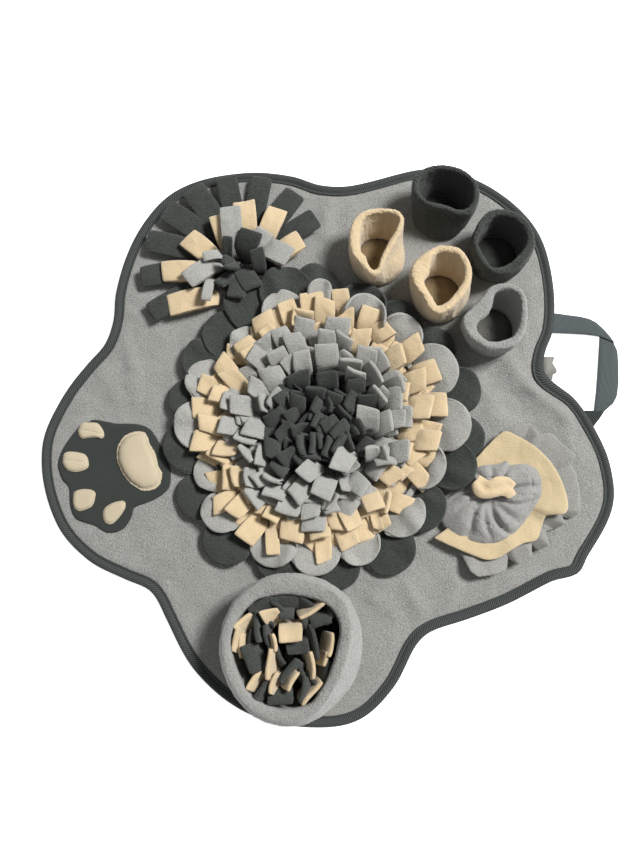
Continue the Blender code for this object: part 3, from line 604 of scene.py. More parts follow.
# ---------------------------------------------------------------- flower loops
# Strips of fleece folded double and sewn down by their ends, ring within ring.
# The dark middle stands upright; the grey and cream rings lean further and further out.
CREAM_LOOPS = [  # tip x, tip y, way it points, lean, width, height, opening
    (-146, 59, 166, 76, 25, 30, 1), (-131, 45, 172, 72, 23, 36, 1), (-154, 28, 176, 78, 27, 29, 1),
    (-145, 10, 170, 74, 23, 35, 1), (-123, 87, 134, 76, 27, 31, 1), (-114, 72, 140, 72, 23, 37, 1),
    (-96, 111, 131, 76, 30, 31, 1), (-88, 101, 131, 70, 23, 37, 1), (-72, 144, 112, 76, 28, 31, 1),
    (-68, 126, 125, 70, 23, 37, 1), (-43, 160, 105, 76, 24, 32, 1), (-19, 146, 78, 24, 26, 40, 1),
    (-33, 139, 172, 16, 24, 38, 1), (-11, 171, 92, 76, 29, 32, 2), (6, 162, 92, 78, 28, 38, 1),
    (24, 174, 100, 70, 20, 36, 2), (64, 151, 75, 66, 30, 34, 4), (85, 127, 24, 60, 28, 36, 5),
    (51, 122, 82, 68, 25, 41, 3), (123, 109, 40, 78, 30, 33, 1), (101, 93, 24, 62, 28, 39, 2),
    (127, 63, 12, 76, 26, 38, 1), (143, 75, 14, 76, 30, 31, 2), (134, 27, 3, 78, 29, 37, 1),
    (153, 31, 2, 74, 28, 30, 2), (142, -14, 354, 72, 29, 34, 3), (108, -26, 350, 40, 25, 33, 3),
    (91, -61, 322, 64, 24, 36, 2), (66, -96, 290, 66, 24, 38, 2), (81, -88, 340, 20, 28, 34, 1),
    (69, -118, 285, 60, 13, 31, 1), (41, -117, 300, 72, 26, 36, 1), (36, -139, 292, 76, 28, 30, 1),
    (5, -156, 268, 74, 22, 29, 1), (0, -128, 266, 36, 27, 37, 1), (-34, -132, 262, 76, 31, 33, 1),
    (-55, -148, 276, 76, 17, 31, 1), (-90, -131, 238, 76, 25, 31, 1), (-104, -101, 222, 72, 25, 36, 1),
    (-126, -91, 205, 76, 25, 30, 1), (-115, -57, 180, 40, 29, 33, 1), (-104, -57, 182, 30, 29, 38, 1),
    (-114, -31, 252, 46, 27, 37, 1), (-123, -36, 250, 30, 33, 32, 1), (-153, -13, 186, 76, 25, 31, 1),
    (-59, -107, 250, 40, 20, 36, 3), (106, 46, 350, 60, 24, 34, 2), (-53, 153, 118, 60, 24, 27, 1),
    (31, 152, 95, 60, 22, 30, 2), (21, -119, 280, 60, 22, 32, 1), (-69, -101, 235, 60, 24, 28, 1),
]
GREY_LOOPS = [
    (-51, 123, 115, 72, 26, 41, 1), (-18, 136, 76, 60, 24, 40, 1), (-35, 115, 120, 74, 27, 46, 1),
    (-54, 94, 116, 38, 27, 47, 1), (-84, 94, 140, 72, 23, 41, 2), (-42, 85, 135, 40, 20, 44, 1),
    (-23, 93, 92, 66, 25, 47, 1), (-62, 73, 125, 68, 27, 45, 2), (-85, 54, 155, 72, 25, 42, 1),
    (-117, 35, 178, 42, 24, 39, 1), (-107, 29, 178, 76, 28, 44, 1), (-71, 31, 178, 24, 23, 45, 1),
    (-57, 39, 148, 14, 25, 49, 0.5), (-120, 5, 178, 74, 25, 39, 1), (-90, 2, 174, 74, 25, 45, 2),
    (23, 136, 75, 74, 29, 42, 1), (8, 120, 90, 56, 26, 45, 1), (7, 102, 98, 70, 29, 46, 1),
    (37, 81, 76, 14, 29, 51, 0.5), (43, 68, 85, 14, 28, 51, 0.5), (58, 98, 75, 66, 25, 43, 1),
    (79, 86, 30, 40, 26, 43, 4), (68, 68, 24, 18, 31, 48, 1), (72, 41, 34, 18, 28, 49, 1),
    (99, 55, 20, 38, 26, 44, 1), (98, 38, 10, 50, 28, 41, 2), (57, 24, 95, 64, 28, 49, 1),
    (101, 13, 5, 72, 25, 41, 2), (-91, -16, 240, 34, 28, 43, 1), (-89, -31, 216, 16, 26, 46, 0.5),
    (-74, -32, 172, 24, 25, 46, 0.5), (-88, -58, 178, 32, 28, 42, 1), (-77, -63, 200, 54, 21, 43, 1),
    (-58, -62, 234, 14, 26, 48, 0.5), (-56, -82, 244, 44, 27, 45, 1), (-81, -85, 240, 40, 28, 41, 1),
    (-40, -101, 240, 66, 28, 42, 1), (-21, -59, 225, 74, 27, 50, 1), (-31, -83, 225, 72, 27, 46, 1),
    (0, -82, 252, 76, 28, 49, 1), (-12, -106, 262, 68, 26, 43, 1), (-9, -121, 265, 64, 27, 39, 1),
    (21, -51, 238, 82, 30, 53, 0.5), (61, -24, 92, 12, 22, 48, 5), (78, -43, 282, 24, 26, 45, 1),
    (79, -30, 12, 24, 23, 46, 1), (105, -26, 0, 56, 27, 42, 5), (53, -74, 320, 62, 27, 44, 2),
    (16, -89, 330, 24, 29, 44, 1), (15, -99, 300, 50, 20, 42, 1), (-70, 112, 118, 40, 24, 38, 1),
    (38, -50, 300, 40, 24, 42, 1), (85, 10, 15, 50, 26, 44, 1), (-100, 17, 178, 40, 22, 36, 1),
    (38, -73, 290, 50, 26, 38, 1), (30, 115, 80, 40, 24, 40, 1),
]
DARK_LOOPS = [
    (-51, 42, 145, 52, 23, 46, 1), (-57, 19, 122, 40, 25, 46, 1), (-26, 39, 85, 60, 21, 47, 1),
    (-27, 67, 95, 46, 28, 45, 1), (-6, 47, 90, 30, 25, 46, 1), (-8, 30, 150, 30, 21, 46, 1),
    (-7, 11, 155, 32, 23, 46, 1), (-46, 1, 120, 40, 25, 46, 1), (1, 6, 136, 28, 21, 47, 1),
    (43, 59, 80, 54, 27, 46, 1), (8, 68, 92, 62, 27, 44, 1), (18, 42, 95, 54, 23, 45, 1),
    (32, 36, 150, 34, 26, 48, 1), (56, 40, 98, 54, 27, 45, 1), (8, 10, 126, 40, 26, 48, 1),
    (20, 2, 126, 34, 26, 48, 1), (-65, -22, 165, 58, 23, 46, 1), (-42, -28, 130, 46, 25, 46, 1),
    (-52, -52, 236, 44, 26, 45, 1), (-26, -21, 190, 34, 24, 46, 1), (-11, -18, 175, 24, 26, 47, 1),
    (-2, -14, 185, 20, 22, 44, 1), (6, -21, 165, 24, 24, 47, 1), (20, -17, 140, 18, 26, 48, 1),
    (-24, 4, 100, 30, 24, 42, 1), (36, -14, 20, 20, 24, 42, 1), (-12, -35, 250, 30, 24, 42, 1),
    (-36, 22, 130, 30, 24, 42, 1), (30, 20, 60, 20, 24, 42, 1), (12, 29, 20, 14, 22, 40, 1),
    (-24, -43, 230, 40, 24, 40, 1), (50, 4, 40, 30, 24, 40, 1),
]
# Rows that fill in below the others: radius, count, lean and height.
DARK_FILL = [(20, 6, 20, 36), (45, 12, 30, 35), (66, 16, 45, 33)]
GREY_FILL = [(92, 16, 50, 32), (114, 20, 60, 29)]
CREAM_FILL = [(124, 22, 60, 27), (146, 26, 72, 21)]
# How far a tip lies from its root at no lean and for each degree of it, and the root's slope.
DARK_RUN = (4.0, 0.22, 0.0)
GREY_RUN = (5.0, 0.34, 12.0)
CREAM_RUN = (6.0, 0.38, 24.0)
LOOP_PLY = 2.2
LOOP_GAP = 3.4  # between the two legs of a folded strip
LOOP_WIDTHS = [(0.0, 0.72), (0.4, 0.96), (0.85, 1.0), (1.0, 0.95)]
LOOP_RIPPLE = 2.0
LOOP_EXTRA = 1.06  # a strip is this much wider than it looks from its tip
TIP_DROP = 2.6
LEG_STEPS = 6
FOLD_STEPS = 4
LOOP_ACROSS = 3
ARCH_STEPS = 8
ARCH_GRIP = 0.4
CREAM = (0.630, 0.490, 0.303)


def arch(root, tip, leans, roll=0.0):
    """Frames and length of a strip bent from its root over to its tip.

    Leans are the two ends' slopes in degrees off the vertical.
    """
    root, tip = Vector(root), Vector(tip)
    out = Vector((tip.x - root.x, tip.y - root.y, 0.0)).normalized()
    side = Vector((-out.y, out.x, 0.0))
    grip = ARCH_GRIP * (tip - root).length
    ways = [out * math.sin(math.radians(lean)) + UP * math.cos(math.radians(lean)) for lean in leans]
    p1, p2 = root + ways[0] * grip, tip - ways[1] * grip
    frames = []
    length = 0.0
    for step in range(ARCH_STEPS + 1):
        t = step / ARCH_STEPS
        spot = root * (1 - t)**3 + p1 * 3 * t * (1 - t)**2 + p2 * 3 * t * t * (1 - t) + tip * t**3
        along = ((p1 - root) * (1 - t)**2 + (p2 - p1) * 2 * t * (1 - t) + (tip - p2) * t * t).normalized()
        across = Matrix.Rotation(math.radians(roll * first_third(t)), 3, along) @ side
        if frames:
            length += (spot - frames[-1][0]).length
        frames.append((spot, across, along.cross(across)))
    return frames, length


def folded_loop(bm, tip, back, low, leans, roll, width, opening, seed, skew, cup, taper=0.0):
    """A strip folded double and bent from its root over to its tip; gives its unfolded length.

    Back is the way from the root to the tip, low the root's height. Opening bulges the two
    legs apart, skew slants the fold, cup bends the strip across and taper narrows it.
    """
    root = tip - back
    root.z = low
    frames, length = arch(root, tip, leans, roll)
    fold = LOOP_GAP / 2
    reach = 1.0 - fold / length
    leg = [(step / LEG_STEPS * reach, fold + opening * math.sin(math.pi * (step / LEG_STEPS)))
           for step in range(LEG_STEPS)]
    path = [(share, -offset) for share, offset in leg]
    for step in range(FOLD_STEPS + 1):
        turn = math.pi * (step / FOLD_STEPS - 0.5)
        path.append((reach + fold * math.cos(turn) / length, fold * math.sin(turn)))
    path += reversed(leg)
    rows = []
    for share, offset in path:
        spot, across, face = frame_at(frames, share)
        along = across.cross(face)
        row = []
        for j in range(LOOP_ACROSS + 1):
            part = 2.0 * j / LOOP_ACROSS - 1.0
            aside = width / 2 * part * read_line(LOOP_WIDTHS, share) * (1.0 - taper * share)
            ripple = LOOP_RIPPLE * share * wave(aside + seed * 7.0, share * length, 13.0, seed)
            bend = cup * share * (part * part - 0.5)
            row.append(spot + across * aside - along * skew * part * share + face * (offset + ripple + bend))
        rows.append(row)
    skin(bm, rows, around=False)
    return 2 * length


def loop_rings(name, ring, run, rows, fill, seed, slot, node):
    """Folded loops on one backing, each bent over from its root to its own tip."""
    chance = random.Random(seed)
    bm = bmesh.new()
    backing_ring(bm, ring[0], ring[1], ON_MAT + BACKING / 2, FLOWER)
    filled = list(rows)
    for radius, count, lean, height in fill:
        for i in range(count):
            bearing = 360.0 * (i + chance.uniform(-0.3, 0.3)) / count
            spot = polar(radius + chance.uniform(-3.0, 3.0), bearing, FLOWER.x, FLOWER.y)
            filled.append((spot.x, spot.y, bearing + chance.uniform(-35, 35), lean + chance.uniform(-12, 10),
                           chance.uniform(24, 28), height + chance.uniform(-3, 3), chance.uniform(0.3, 2.0)))
    total = 0.0
    for x, y, heading, lean, width, height, opening in filled:
        tip = Vector((x, y, height - TIP_DROP * math.sin(math.radians(lean))))
        back = polar(run[0] + run[1] * lean, heading + chance.uniform(-6.0, 6.0))
        leans = (run[2] + chance.uniform(-8.0, 8.0), lean)
        total += folded_loop(
            bm, tip, back, ON_MAT + BACKING, leans, chance.uniform(-12.0, 12.0), width * LOOP_EXTRA, opening,
            chance.uniform(0, 50), skew=chance.uniform(-4.5, 4.5), cup=chance.uniform(-3.0, 3.5),
            taper=chance.uniform(-0.1, 0.2))
    sew_strips(name, bm, slot, node, LOOP_PLY)


FLEECES["cream_fleece"] = fleece("cream_cloth", CREAM, grain=0.14, pill=0.85, pitch=1.6)
loop_rings("loops_dark", (0.0, 68.0), DARK_RUN, DARK_LOOPS, DARK_FILL, 11, "dark_fleece", "flower_dark")
loop_rings("loops_grey", (68.4, 106.0), GREY_RUN, GREY_LOOPS, GREY_FILL, 12, "grey_fleece", "flower_grey")
loop_rings("loops_cream", (106.4, 130.5), CREAM_RUN, CREAM_LOOPS, CREAM_FILL, 13, "cream_fleece",
           "flower_cream")


# ---------------------------------------------------------------- fan
# A half round of strips: single dark ones below, folded cream and grey ones above.
# All are sewn to one spot, where eight short dark loops stand up in a tuft.
FAN = Vector((-94.8, 219.9, 0.0))
FAN_DARK = [  # bearing, reach, width
    (212, 137, 28), (191, 132, 29), (169, 126, 30), (147, 121, 31), (126, 117, 32),
    (103, 114, 28), (79, 112, 28), (54, 110, 30), (31, 106, 29),
]
FAN_CREAM = [  # tip x, tip y, heading, run, width, height of the tip
    (-187, 157, 194, 62, 30, 15), (-196, 201, 180, 62, 28, 17), (-166, 245, 142, 48, 29, 20),
    (-131, 271, 108, 42, 17, 24), (-96, 292, 96, 50, 30, 19), (-53, 283, 67, 48, 27, 17),
    (-24, 244, 34, 42, 28, 17),
]
FAN_GREY = [
    (-112, 280, 95, 56, 28, 31), (-67, 251, 50, 36, 26, 25), (-38, 217, 333, 42, 29, 24),
    (-143, 214, 200, 26, 13, 34), (-163, 185, 218, 48, 25, 30), (-139, 159, 263, 36, 13, 34),
]
FAN_UPRIGHT = [
    (-113, 237, 84, 18, 13, 42), (-108, 196, 268, 14, 20, 44), (-84, 246, 62, 26, 30, 38),
    (-78, 222, 100, 18, 19, 40), (-118, 208, 175, 10, 13, 44), (-104, 166, 262, 38, 24, 24),
    (-82, 178, 300, 36, 26, 24), (-124, 180, 232, 26, 14, 30),
]
FAN_STEPS = 8
FAN_BACKING = 47.0
FAN_ROOTS = 43.5  # radius at which the single strips are sewn down
FAN_ROOT_WIDTH = 15.0
FAN_RIPPLE = 0.9
FAN_LEANS = [(0.0, 70), (1.0, 94)]
FAN_MEAN_LEAN = 82.0


def flat_strip(bm, frames, width, root_width, curl, seed):
    """A single strip, narrow at the root, with slightly curled sides."""
    rows = []
    for step in range(FAN_STEPS + 1):
        u = step / FAN_STEPS
        spot, across, face = frame_at(frames, u)
        half = (root_width + (width - root_width) * ease(u * 2.2)) / 2
        row = []
        for j in range(-2, 3):
            aside = half * j / 2
            ripple = FAN_RIPPLE * u * wave(aside + seed * 5.0, u * 90.0, 20.0, seed)
            row.append(spot + across * aside + face * (curl * u * (j / 2) ** 2 + ripple))
        rows.append(row)
    skin(bm, rows, around=False)


def fan_under(name, rows, seed, slot, node):
    """The single strips below, spread like a fan from one ring."""
    chance = random.Random(seed)
    bm = bmesh.new()
    backing_ring(bm, 0.0, FAN_BACKING, ON_MAT + BACKING / 2, FAN)
    for bearing, reach, width in rows:
        length = (reach - FAN_ROOTS) / math.sin(math.radians(FAN_MEAN_LEAN))
        root = polar(FAN_ROOTS, bearing, FAN.x, FAN.y, ON_MAT + BACKING)
        frames = spine(root, bearing, length, FAN_LEANS, FAN_STEPS, yaw=chance.uniform(-4, 4))
        flat_strip(bm, frames, width, FAN_ROOT_WIDTH, chance.uniform(-2.5, 2.0), chance.uniform(0, 50))
    sew_strips(name, bm, slot, node, LOOP_PLY)


def fan_over(name, rows, leans, seed, slot, node):
    """The folded strips above, each bent over from the middle to its own tip."""
    chance = random.Random(seed)
    bm = bmesh.new()
    total = 0.0
    for x, y, heading, run, width, height in rows:
        tip = Vector((x, y, ON_MAT + height))
        total += folded_loop(
            bm, tip, polar(run, heading), ON_MAT + BACKING, leans, chance.uniform(-5.0, 5.0), width,
            chance.uniform(0.3, 1.4), chance.uniform(0, 50), skew=chance.uniform(-2.0, 2.0),
            cup=chance.uniform(-2.0, 2.5))
    sew_strips(name, bm, slot, node, LOOP_PLY)


fan_under("dark_fan", FAN_DARK, 51, "dark_fleece", "fan_dark")
fan_over("cream_fan", FAN_CREAM, (28.0, 96.0), 52, "cream_fleece", "fan_cream")
fan_over("grey_fan", FAN_GREY, (10.0, 92.0), 53, "grey_fleece", "fan_grey")
fan_over("fan_middle", FAN_UPRIGHT, (4.0, 48.0), 54, "dark_fleece", "fan_centre")


# ---------------------------------------------------------------- cups
# Short tubes of thick fleece turned over at the rim and sewn down round the foot.
# Each has settled its own way, so every mouth has its own shape; a dark round of painted shade, in a deep
# tone of the cup's cloth, lies in each.
CUP_FOOT = 34.0
CUP_WALL = 6.5
CUP_ROLL = 3.5
CUP_BULGE = 1.5
CUP_RIM_DROP = 4.0
CUP_SPANS = 6  # steps of the smooth curve between two points
NAP = 1.6
NAP_PITCH = 2.6
CUPS = {  # name: slot, foot, top, points on the rim and on the mouth
    "cup_dark_top": ("dark_fleece", (152, 281), 61.0, [
        (148.5, 321.6, 151.9, 318.0), (170.7, 317.6, 172.5, 312.5), (187.5, 302.9, 185.0, 299.7),
        (191.2, 282.9, 186.2, 279.7), (183.0, 265.7, 178.2, 268.8), (169.3, 262.6, 167.9, 267.4),
        (150.7, 268.4, 148.4, 274.3), (126.9, 277.4, 128.8, 279.7), (116.1, 293.8, 120.5, 294.3),
        (119.8, 310.2, 123.3, 308.0), (131.2, 318.5, 136.4, 316.2),
    ]),
    "cup_dark_right": ("dark_fleece", (221, 225), 59.0, [
        (218.9, 265.7, 219.7, 259.8), (240.8, 259.4, 235.8, 255.3), (255.4, 239.6, 248.0, 240.0),
        (256.4, 221.7, 250.0, 225.7), (245.5, 202.2, 239.2, 209.6), (226.5, 191.6, 225.3, 198.1),
        (207.9, 189.8, 209.1, 194.0), (196.5, 202.2, 201.4, 203.4), (187.8, 225.3, 191.4, 225.7),
        (194.4, 246.8, 198.8, 245.4), (205.1, 261.2, 208.5, 256.2),
    ]),
    "cup_cream_left": ("cream_fleece", (73, 222), 59.0, [
        (40.2, 216.4, 49.6, 216.8), (40.1, 243.2, 49.8, 243.6), (49.9, 259.4, 56.7, 258.0),
        (70.4, 266.2, 73.9, 263.4), (90.9, 264.4, 90.9, 260.7), (99.6, 254.0, 95.9, 253.5),
        (95.6, 238.7, 91.5, 241.8), (86.9, 223.5, 81.9, 225.7), (78.2, 207.5, 74.1, 207.9),
        (73.8, 193.3, 69.7, 194.6), (65.3, 186.3, 64.3, 191.6), (56.1, 192.5, 58.8, 198.1),
        (49.4, 202.2, 55.5, 208.8),
    ]),
    "cup_cream_right": ("cream_fleece", (149, 173), 59.0, [
        (149.5, 219.1, 149.5, 213.6), (168.1, 214.6, 164.7, 210.5), (178.6, 196.9, 172.8, 197.2),
        (178.9, 179.2, 173.3, 181.3), (171.8, 163.4, 167.0, 169.0), (158.0, 147.7, 156.6, 155.9),
        (144.4, 139.0, 147.2, 148.0), (132.7, 144.2, 139.7, 148.0), (124.7, 159.9, 134.8, 157.6),
        (114.9, 175.7, 125.9, 176.1), (113.5, 193.3, 132.1, 188.4), (125.6, 207.5, 134.9, 202.5),
        (139.3, 216.4, 141.0, 211.4),
    ]),
    "cup_light": ("grey_fleece", (212, 130), 58.0, [
        (222.5, 171.3, 224.2, 166.9), (239.0, 165.2, 237.4, 161.1), (245.1, 147.7, 240.6, 146.3),
        (243.3, 123.4, 238.1, 123.7), (235.2, 106.2, 230.5, 109.9), (219.9, 96.7, 218.7, 104.4),
        (199.9, 96.7, 202.0, 103.0), (183.6, 106.2, 191.4, 110.8), (174.0, 120.0, 187.5, 120.3),
        (174.3, 132.1, 191.0, 127.2), (184.6, 142.5, 201.3, 135.9), (196.7, 154.7, 207.1, 148.0),
        (205.5, 166.9, 210.6, 162.0),
    ]),
}
CUP_SHADE_ROUNDS = {  # slot: colour of the painted-shade round that darkens the cup's shadowed floor
    "cream_fleece": (0.30, 0.225, 0.130),
    "grey_fleece": (0.118, 0.116, 0.104),
    "dark_fleece": (0.048, 0.052, 0.046),
}
SHADE_ROUND_GAP = 0.5
SHADE_ROUND_HEIGHT = 1.2
SHADE_ROUND_PLY = 2.0
WALL_DENT = 1.9
WALL_RIPPLE = 0.8
RIM_SAG = 1.7
RIM_RIPPLE = 0.5
WALL_SHARES = (0.0, 0.12, 0.3, 0.5, 0.7, 0.86, 0.95)
INSIDE_SHARES = (0.93, 0.84, 0.7, 0.5, 0.3, 0.12, 0.0)
RIM_OUTSIDE = ((0.12, 0.55), (0.5, 0.14), (0.95, 0.0))  # share of the way over, share of the drop
RIM_INSIDE = ((0.5, 0.1), (0.95, 0.6))


def curve_spots(p0, p1, p2, p3, steps):
    """Points on a smooth curve from p1 to p2, shaped by the points before and after them."""
    spots = []
    for step in range(steps):
        t = step / steps
        spots.append(0.5 * (2 * p1 + (p2 - p0) * t + (2 * p0 - 5 * p1 + 4 * p2 - p3) * t**2
                            + (3 * p1 - p0 - 3 * p2 + p3) * t**3))
    return spots


def closed_curve(points, per_span):
    """Closed smooth curve through flat points."""
    count = len(points)
    curve = []
    for i in range(count):
        near = [Vector((*points[(i + step) % count], 0.0)) for step in (-1, 0, 1, 2)]
        curve += curve_spots(*near, per_span)
    return curve


def tube(bm, foot, foot_radius, wall, crest, inner, top, roll, bulge, rim_drop, plumb=1.0):
    """Soft tube from a round foot to a rolled rim, closed down inside.

    Crest is the line along the top of the rim, roll how far the rim stands out from it and
    plumb how soon the inner wall hangs straight down from the rim.
    """
    middle = sum(crest, Vector()) / len(crest)
    height = top - ON_MAT
    outward = [(spot - middle).normalized() for spot in crest]
    outer = [spot + way * roll for spot, way in zip(crest, outward)]
    feet = [Vector((*foot, 0.0)) + way * foot_radius for way in outward]
    inner_feet = [Vector((*foot, 0.0)) + way * (foot_radius - wall) for way in outward]

    def wall_ring(low, high, rise, share, swell):
        level = []
        z = ON_MAT + rise * (height - rim_drop)
        for a, b, way in zip(low, high, outward):
            spot = a.lerp(b, ease(share)) + way * swell * math.sin(math.pi * min(share, 1.0))
            dent = WALL_DENT * wave(spot.x * 1.3, spot.y * 1.3, 15.0, share * 2.5)
            dent += WALL_RIPPLE * wave(spot.x, spot.y, 5.0, share * 9.0)
            flat = Vector((spot.x, spot.y, 0.0)) + way * dent * math.sin(math.pi * share * 0.8)
            level.append(Vector((flat.x, flat.y, z)))
        return level

    def rim_ring(low, high, part, drop):
        level = []
        for a, b in zip(low, high):
            spot = a.lerp(b, part)
            z = top - rim_drop * drop + RIM_SAG * wave(spot.x, spot.y, 20.0, 9.0)
            level.append(Vector((spot.x, spot.y, z + RIM_RIPPLE * wave(spot.x, spot.y, 6.0))))
        return level

    rings = [wall_ring(feet, outer, share, share, bulge) for share in WALL_SHARES]
    rings += [rim_ring(outer, crest, *row) for row in RIM_OUTSIDE]
    rings += [rim_ring(crest, inner, *row) for row in RIM_INSIDE]
    rings += [wall_ring(inner_feet, inner, share, min(share * plumb, 1.0), 0.0) for share in INSIDE_SHARES]
    skin(bm, rings, closed=True)


def roughen(piece):
    """The nap of the cloth, which makes its outline a little uneven."""
    nap = bpy.data.textures.new(piece.name + "_nap", "CLOUDS")
    nap.noise_scale = NAP_PITCH * MM
    nap.noise_depth = 1
    rough = piece.modifiers.new("nap", "DISPLACE")
    rough.texture = nap
    rough.texture_coords = "LOCAL"
    rough.mid_level = 0.5
    rough.strength = NAP * MM


for name, (slot, foot, top, rim) in CUPS.items():
    bm = bmesh.new()
    outer = closed_curve([row[:2] for row in rim], CUP_SPANS)
    inner = closed_curve([row[2:] for row in rim], CUP_SPANS)
    tube(bm, foot, CUP_FOOT, CUP_WALL, outer, inner, top, CUP_ROLL, CUP_BULGE, CUP_RIM_DROP)
    cloth = FLEECES["mat" if slot == "grey_fleece" else slot]  # the light cup is of the mat's cloth
    piece = make_piece(name.replace("cup", "tube"), bm, cloth, levels=2)
    roughen(piece)
    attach(piece, "root")
    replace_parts(piece, name)

# Painted shade: the shadowed floor inside each cup is drawn as a dark round in a deep tone of its cloth.
for shade, colour in CUP_SHADE_ROUNDS.items():
    bm = bmesh.new()
    feet = [foot for slot, foot, top, rim in CUPS.values() if slot == shade]
    for foot in feet:
        backing_ring(bm, 0.0, CUP_FOOT - CUP_WALL - SHADE_ROUND_GAP, ON_MAT + SHADE_ROUND_HEIGHT, Vector((*foot, 0.0)))
    cloth = fleece("shade_round_" + shade, colour, grain=0.4, fuzz=0.05)
    piece = make_piece("shade_rounds_" + shade, bm, cloth, thickness=SHADE_ROUND_PLY)
    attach(piece, "root")


# ---------------------------------------------------------------- bucket
# A wide soft tub of grey fleece, turned over at the rim and filled with upright strips.
# It has slumped to one side: its right wall bulges and its rim hangs over on the left.
BUCKET_FOOT = (-24.5, -256.0)
BUCKET_FOOT_RADIUS = 69.0
BUCKET_WALL = 6.0
BUCKET_ROLL = 4.0
BUCKET_RIM_DROP = 3.6
BUCKET_PLUMB = 1.5
BUCKET_SPANS = 3
BUCKET_BACKING = 57.0
BUCKET_MIDDLE = Vector((-28.0, -256.0, 0.0))
BUCKET_RUN = (7.0, 0.18)  # how far a tip lies from its root at no lean and for each degree of it
BUCKET_RIM = [  # top of the rim x, y; mouth x, y
    (-107, -253, -101, -251), (-105, -231, -99, -235), (-97, -211, -93, -222), (-85, -196, -83, -209),
    (-68, -184, -70, -199), (-48, -178, -53, -195), (-28, -177, -34, -194), (-8, -182, -15, -197),
    (10, -190, 2, -202), (22, -200, 14, -211), (29, -213, 21, -222), (33, -229, 23, -235),
    (31, -248, 20, -251), (26, -268, 16, -267), (18, -288, 9, -284), (8, -305, 0, -300),
    (-4, -319, -10, -312), (-20, -329, -24, -318), (-40, -331, -42, -320), (-58, -327, -58, -317),
    (-76, -317, -74, -308), (-91, -301, -86, -294), (-102, -279, -96, -273),
]
BUCKET_TOP = 62.0
BUCKET_BULGE = 9.0
BUCKET_CREAM = [  # tip x, y, way its broad side faces, lean of the tip, width, opening, height
    (-59, -211, 118, 64, 20, 1.0, 51), (-7, -212, 309, 20, 35, 1.2, 51), (-33, -246, 272, 80, 29, 0.5, 54),
    (-89, -222, 134, 30, 27, 1.5, 49), (-97, -243, 168, 22, 36, 1.5, 48), (-90, -251, 176, 12, 30, 1.0, 44),
    (-51, -247, 12, 10, 25, 1.2, 52), (-58, -271, 168, 12, 33, 1.6, 52), (-8, -272, 14, 12, 33, 1.4, 51),
    (13, -250, 350, 20, 27, 1.2, 46), (7, -266, 350, 14, 18, 1.2, 43), (-30, -290, 330, 16, 30, 1.8, 51),
    (-53, -291, 162, 14, 31, 1.2, 49), (-75, -288, 148, 24, 24, 1.0, 46), (-9, -303, 316, 12, 33, 0.8, 47),
]
BUCKET_DARK = [
    (-69, -202, 118, 50, 30, 1.0, 50), (-41, -196, 95, 46, 34, 1.5, 49), (-38, -221, 272, 50, 20, 1.0, 49),
    (-47, -207, 60, 20, 24, 1.0, 47), (-15, -199, 60, 40, 30, 1.0, 47), (2, -227, 290, 40, 28, 1.0, 49),
    (14, -218, 330, 20, 24, 1.5, 46), (-73, -229, 186, 14, 36, 1.0, 49), (-62, -240, 186, 12, 28, 1.5, 48),
    (-84, -267, 196, 74, 34, 0.8, 49), (-5, -246, 6, 26, 40, 1.0, 49), (-24, -259, 282, 60, 26, 1.0, 48),
    (-37, -277, 146, 38, 34, 1.0, 50), (-20, -299, 166, 30, 32, 1.2, 47), (-68, -298, 150, 36, 28, 1.0, 46),
    (-45, -314, 268, 50, 27, 1.0, 47), (9, -279, 350, 20, 26, 1.0, 43), (-18, -226, 200, 16, 26, 1.5, 44),
    (-80, -244, 160, 14, 24, 2.0, 42), (-45, -262, 30, 10, 26, 1.0, 44), (-20, -279, 20, 10, 26, 1.0, 43),
    (-65, -280, 330, 12, 26, 1.0, 42), (-7, -289, 30, 14, 24, 1.0, 43), (-30, -232, 100, 12, 28, 1.0, 42),
    (-62, -222, 60, 12, 24, 1.0, 43),
]

bm = bmesh.new()
crest = closed_curve([row[:2] for row in BUCKET_RIM], BUCKET_SPANS)
inner = closed_curve([row[2:] for row in BUCKET_RIM], BUCKET_SPANS)
tube(bm, BUCKET_FOOT, BUCKET_FOOT_RADIUS, BUCKET_WALL, crest, inner, BUCKET_TOP, BUCKET_ROLL, BUCKET_BULGE,
     BUCKET_RIM_DROP, BUCKET_PLUMB)
piece = make_piece("bucket", bm, FLEECES["mat"], levels=2)
roughen(piece)
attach(piece, "root")
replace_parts(piece, "bucket_wall")


def bucket_loops(name, rows, low, seed, slot, node):
    """Folded strips standing in the bucket, each leaning its own way."""
    chance = random.Random(seed)
    bm = bmesh.new()
    backing_ring(bm, 0.0, BUCKET_BACKING, low + BACKING / 2, BUCKET_MIDDLE)
    total = 0.0
    for x, y, heading, lean, width, opening, height in rows:
        tip = Vector((x, y, ON_MAT + height))
        back = polar(BUCKET_RUN[0] + BUCKET_RUN[1] * lean, heading)
        total += folded_loop(
            bm, tip, back, low + BACKING, (0.0, lean), chance.uniform(-6.0, 6.0), width, opening,
            chance.uniform(0, 50), skew=chance.uniform(-4.0, 4.0), cup=chance.uniform(-2.0, 3.0),
            taper=chance.uniform(-0.2, 0.15))
    sew_strips(name, bm, slot, node, LOOP_PLY)


bucket_loops("bucket_strips_dark", BUCKET_DARK, ON_MAT + BACKING, 21, "dark_fleece", "bucket_dark")
bucket_loops("bucket_strips_cream", BUCKET_CREAM, ON_MAT, 22, "cream_fleece", "bucket_cream")


